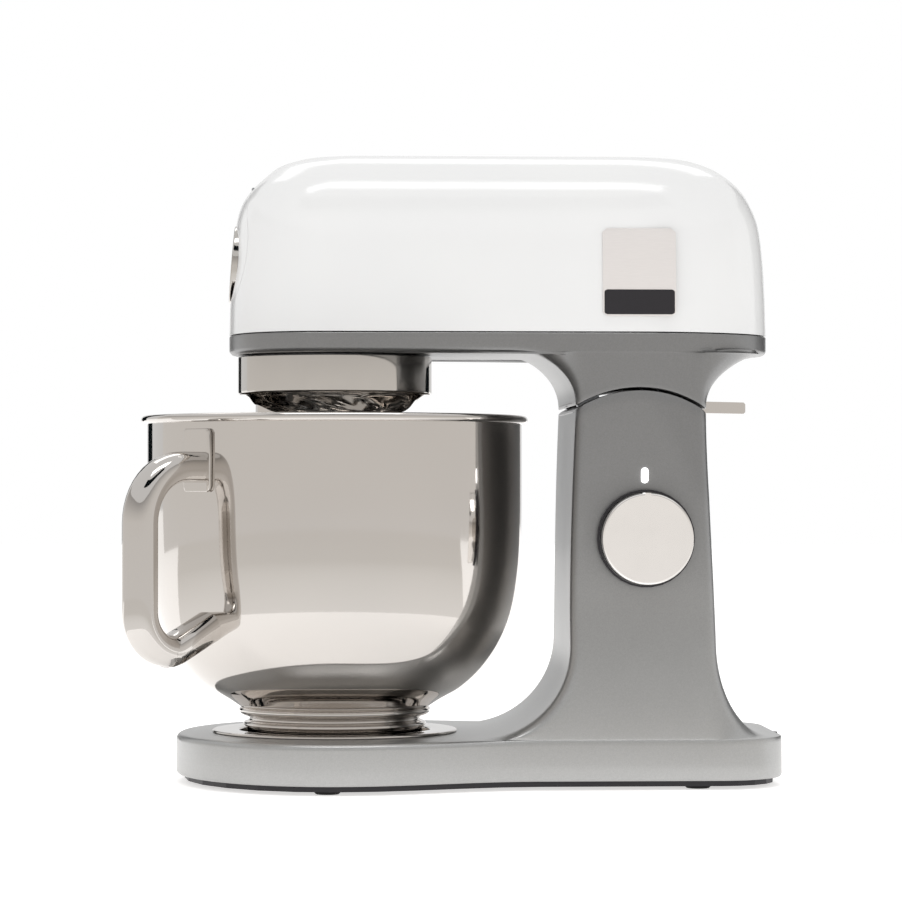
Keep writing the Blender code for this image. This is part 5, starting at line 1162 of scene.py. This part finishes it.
# %% Draw the knob
knob_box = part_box("speed_knob")
KNOB_X, KNOB_Z = (knob_box[0].x + knob_box[1].x) / 2, (knob_box[0].z + knob_box[1].z) / 2
KNOB_RADIUS = (knob_box[1].x - knob_box[0].x) / 2 / MM
knob_back, knob_front = knob_box[1].y, knob_box[0].y
depth = (knob_back - knob_front) / MM
NOTCH_HALF, NOTCH_IN, NOTCH_LONG = 1.6, 1.0, 7.0
knob_profile = [(0.0, 0.0), (KNOB_RADIUS - 0.8, 0.0), (KNOB_RADIUS, 0.6), (KNOB_RADIUS, depth - 0.9),
                (KNOB_RADIUS - 0.25, depth - 0.35), (KNOB_RADIUS - 0.9, depth), (KNOB_RADIUS - 1.5, depth),
                (KNOB_RADIUS - 6.0, depth), (0.0, depth)]
knob = draw_out("speed_knob_cap", turned_rings(knob_profile, 128, (KNOB_X, knob_back, KNOB_Z), "-y"),
                first="open", last="open")
x, y, top = KNOB_X / MM, knob_front / MM, KNOB_Z / MM + KNOB_RADIUS
carve(knob, box_cutter((x - NOTCH_HALF, y - 2.0, top - NOTCH_IN),
                       (x + NOTCH_HALF, y + NOTCH_LONG, top + 3.0)))
finish_piece(knob, "polished_steel", "knob", ["speed_knob"], finish=nickel)

# %% [markdown]
# ### The light above the knob
# A clear lens with round ends stands a little proud of the neck. Its outline, two half
# circles joined by straight sides, is drawn out along y and drawn in at the front edge.

# %% Draw the light
lens_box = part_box("indicator_lens")
LENS_X, LENS_Z = 168.5 * MM, (lens_box[0].z + lens_box[1].z) / 2
LENS_WIDE, LENS_HIGH = 1.9, 4.2
lens_back, lens_front = lens_box[1].y, lens_box[0].y
slot_rings = []
for grow, y in ((0.0, lens_back), (0.0, lens_front + 0.5 * MM), (-0.25, lens_front + 0.1 * MM),
                (-0.7, lens_front)):
    ring = []
    for i in range(48):
        turn = 2 * math.pi * i / 48
        lift = math.copysign(LENS_HIGH - LENS_WIDE, math.sin(turn)) if abs(math.sin(turn)) > 1e-9 else 0.0
        ring.append((LENS_X + (LENS_WIDE + grow) * math.cos(turn) * MM, y,
                     LENS_Z + (lift + (LENS_WIDE + grow) * math.sin(turn)) * MM))
    slot_rings.append(ring)
slot_light = draw_out("light_slot", slot_rings)
finish_piece(slot_light, "light_lens", "stand", ["indicator_lens"])

# %% [markdown]
# ### The badge
# A thin brushed plate sits on the head's side, with a plain dark strip across its foot.
# The side leans and curves with height, so each ring of the plate asks the cover's own
# levels how far out it stands there.

# %% Draw the badge
BADGE_X, BADGE_LOW, BADGE_HIGH, BADGE_HALF = 165.5, 257.9, 306.2, 20.1
BADGE_STEPS = 24


def cover_side(z):
    """Half width of the cover in millimetres at height z."""
    rise = (z - SEAM_Z) / (HEAD_TOP - SEAM_Z)
    dense = np.array(through(COVER_LEVELS, 6))
    return float(np.interp(rise, dense[:, 0], dense[:, 3])) * HEAD_SIDE


def curved_plate(name, low, high, half, corner, inner, outer):
    """A plate with rounded corners, held off the cover's side between two distances."""
    levels = []
    for k in range(BADGE_STEPS + 1):
        z = blend(low, high, k / BADGE_STEPS)
        to_end = min(z - low, high - z)
        cut = corner - math.sqrt(max(0.0, corner ** 2 - (corner - min(to_end, corner)) ** 2))
        reach = half - cut
        near, far = -(cover_side(z) + inner), -(cover_side(z) + outer)
        levels.append([((BADGE_X + u * reach) * MM, y * MM, z * MM) for u, y in (
            (-1, near), (0, near), (1, near), (1, far), (0, far), (-1, far))])
    plate = draw_out(name, levels)
    apply_modifier(plate, "BEVEL", width=0.25 * MM, segments=3, limit_method="ANGLE",
                   angle_limit=math.radians(45.0))
    return plate


badge = curved_plate("badge_plate", BADGE_LOW, BADGE_HIGH, BADGE_HALF, 2.4, 0.1, 0.9)
finish_piece(badge, "badge_plate", "head", ["badge"])
strip = curved_plate("badge_strip", BADGE_LOW + 1.0, BADGE_LOW + 14.6, BADGE_HALF - 0.8, 1.6, 0.8, 1.15)
finish_piece(strip, "dark_plastic", "head", [])

# %% [markdown]
# ## Sizes and the end
# The visual model's box is printed in millimetres. The visual model has to stay inside
# the CAD model's box.

# %% Write the sizes and finish
low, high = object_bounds()
print("visual box in mm", [round((b - a) / MM, 1) for a, b in zip(low, high)])
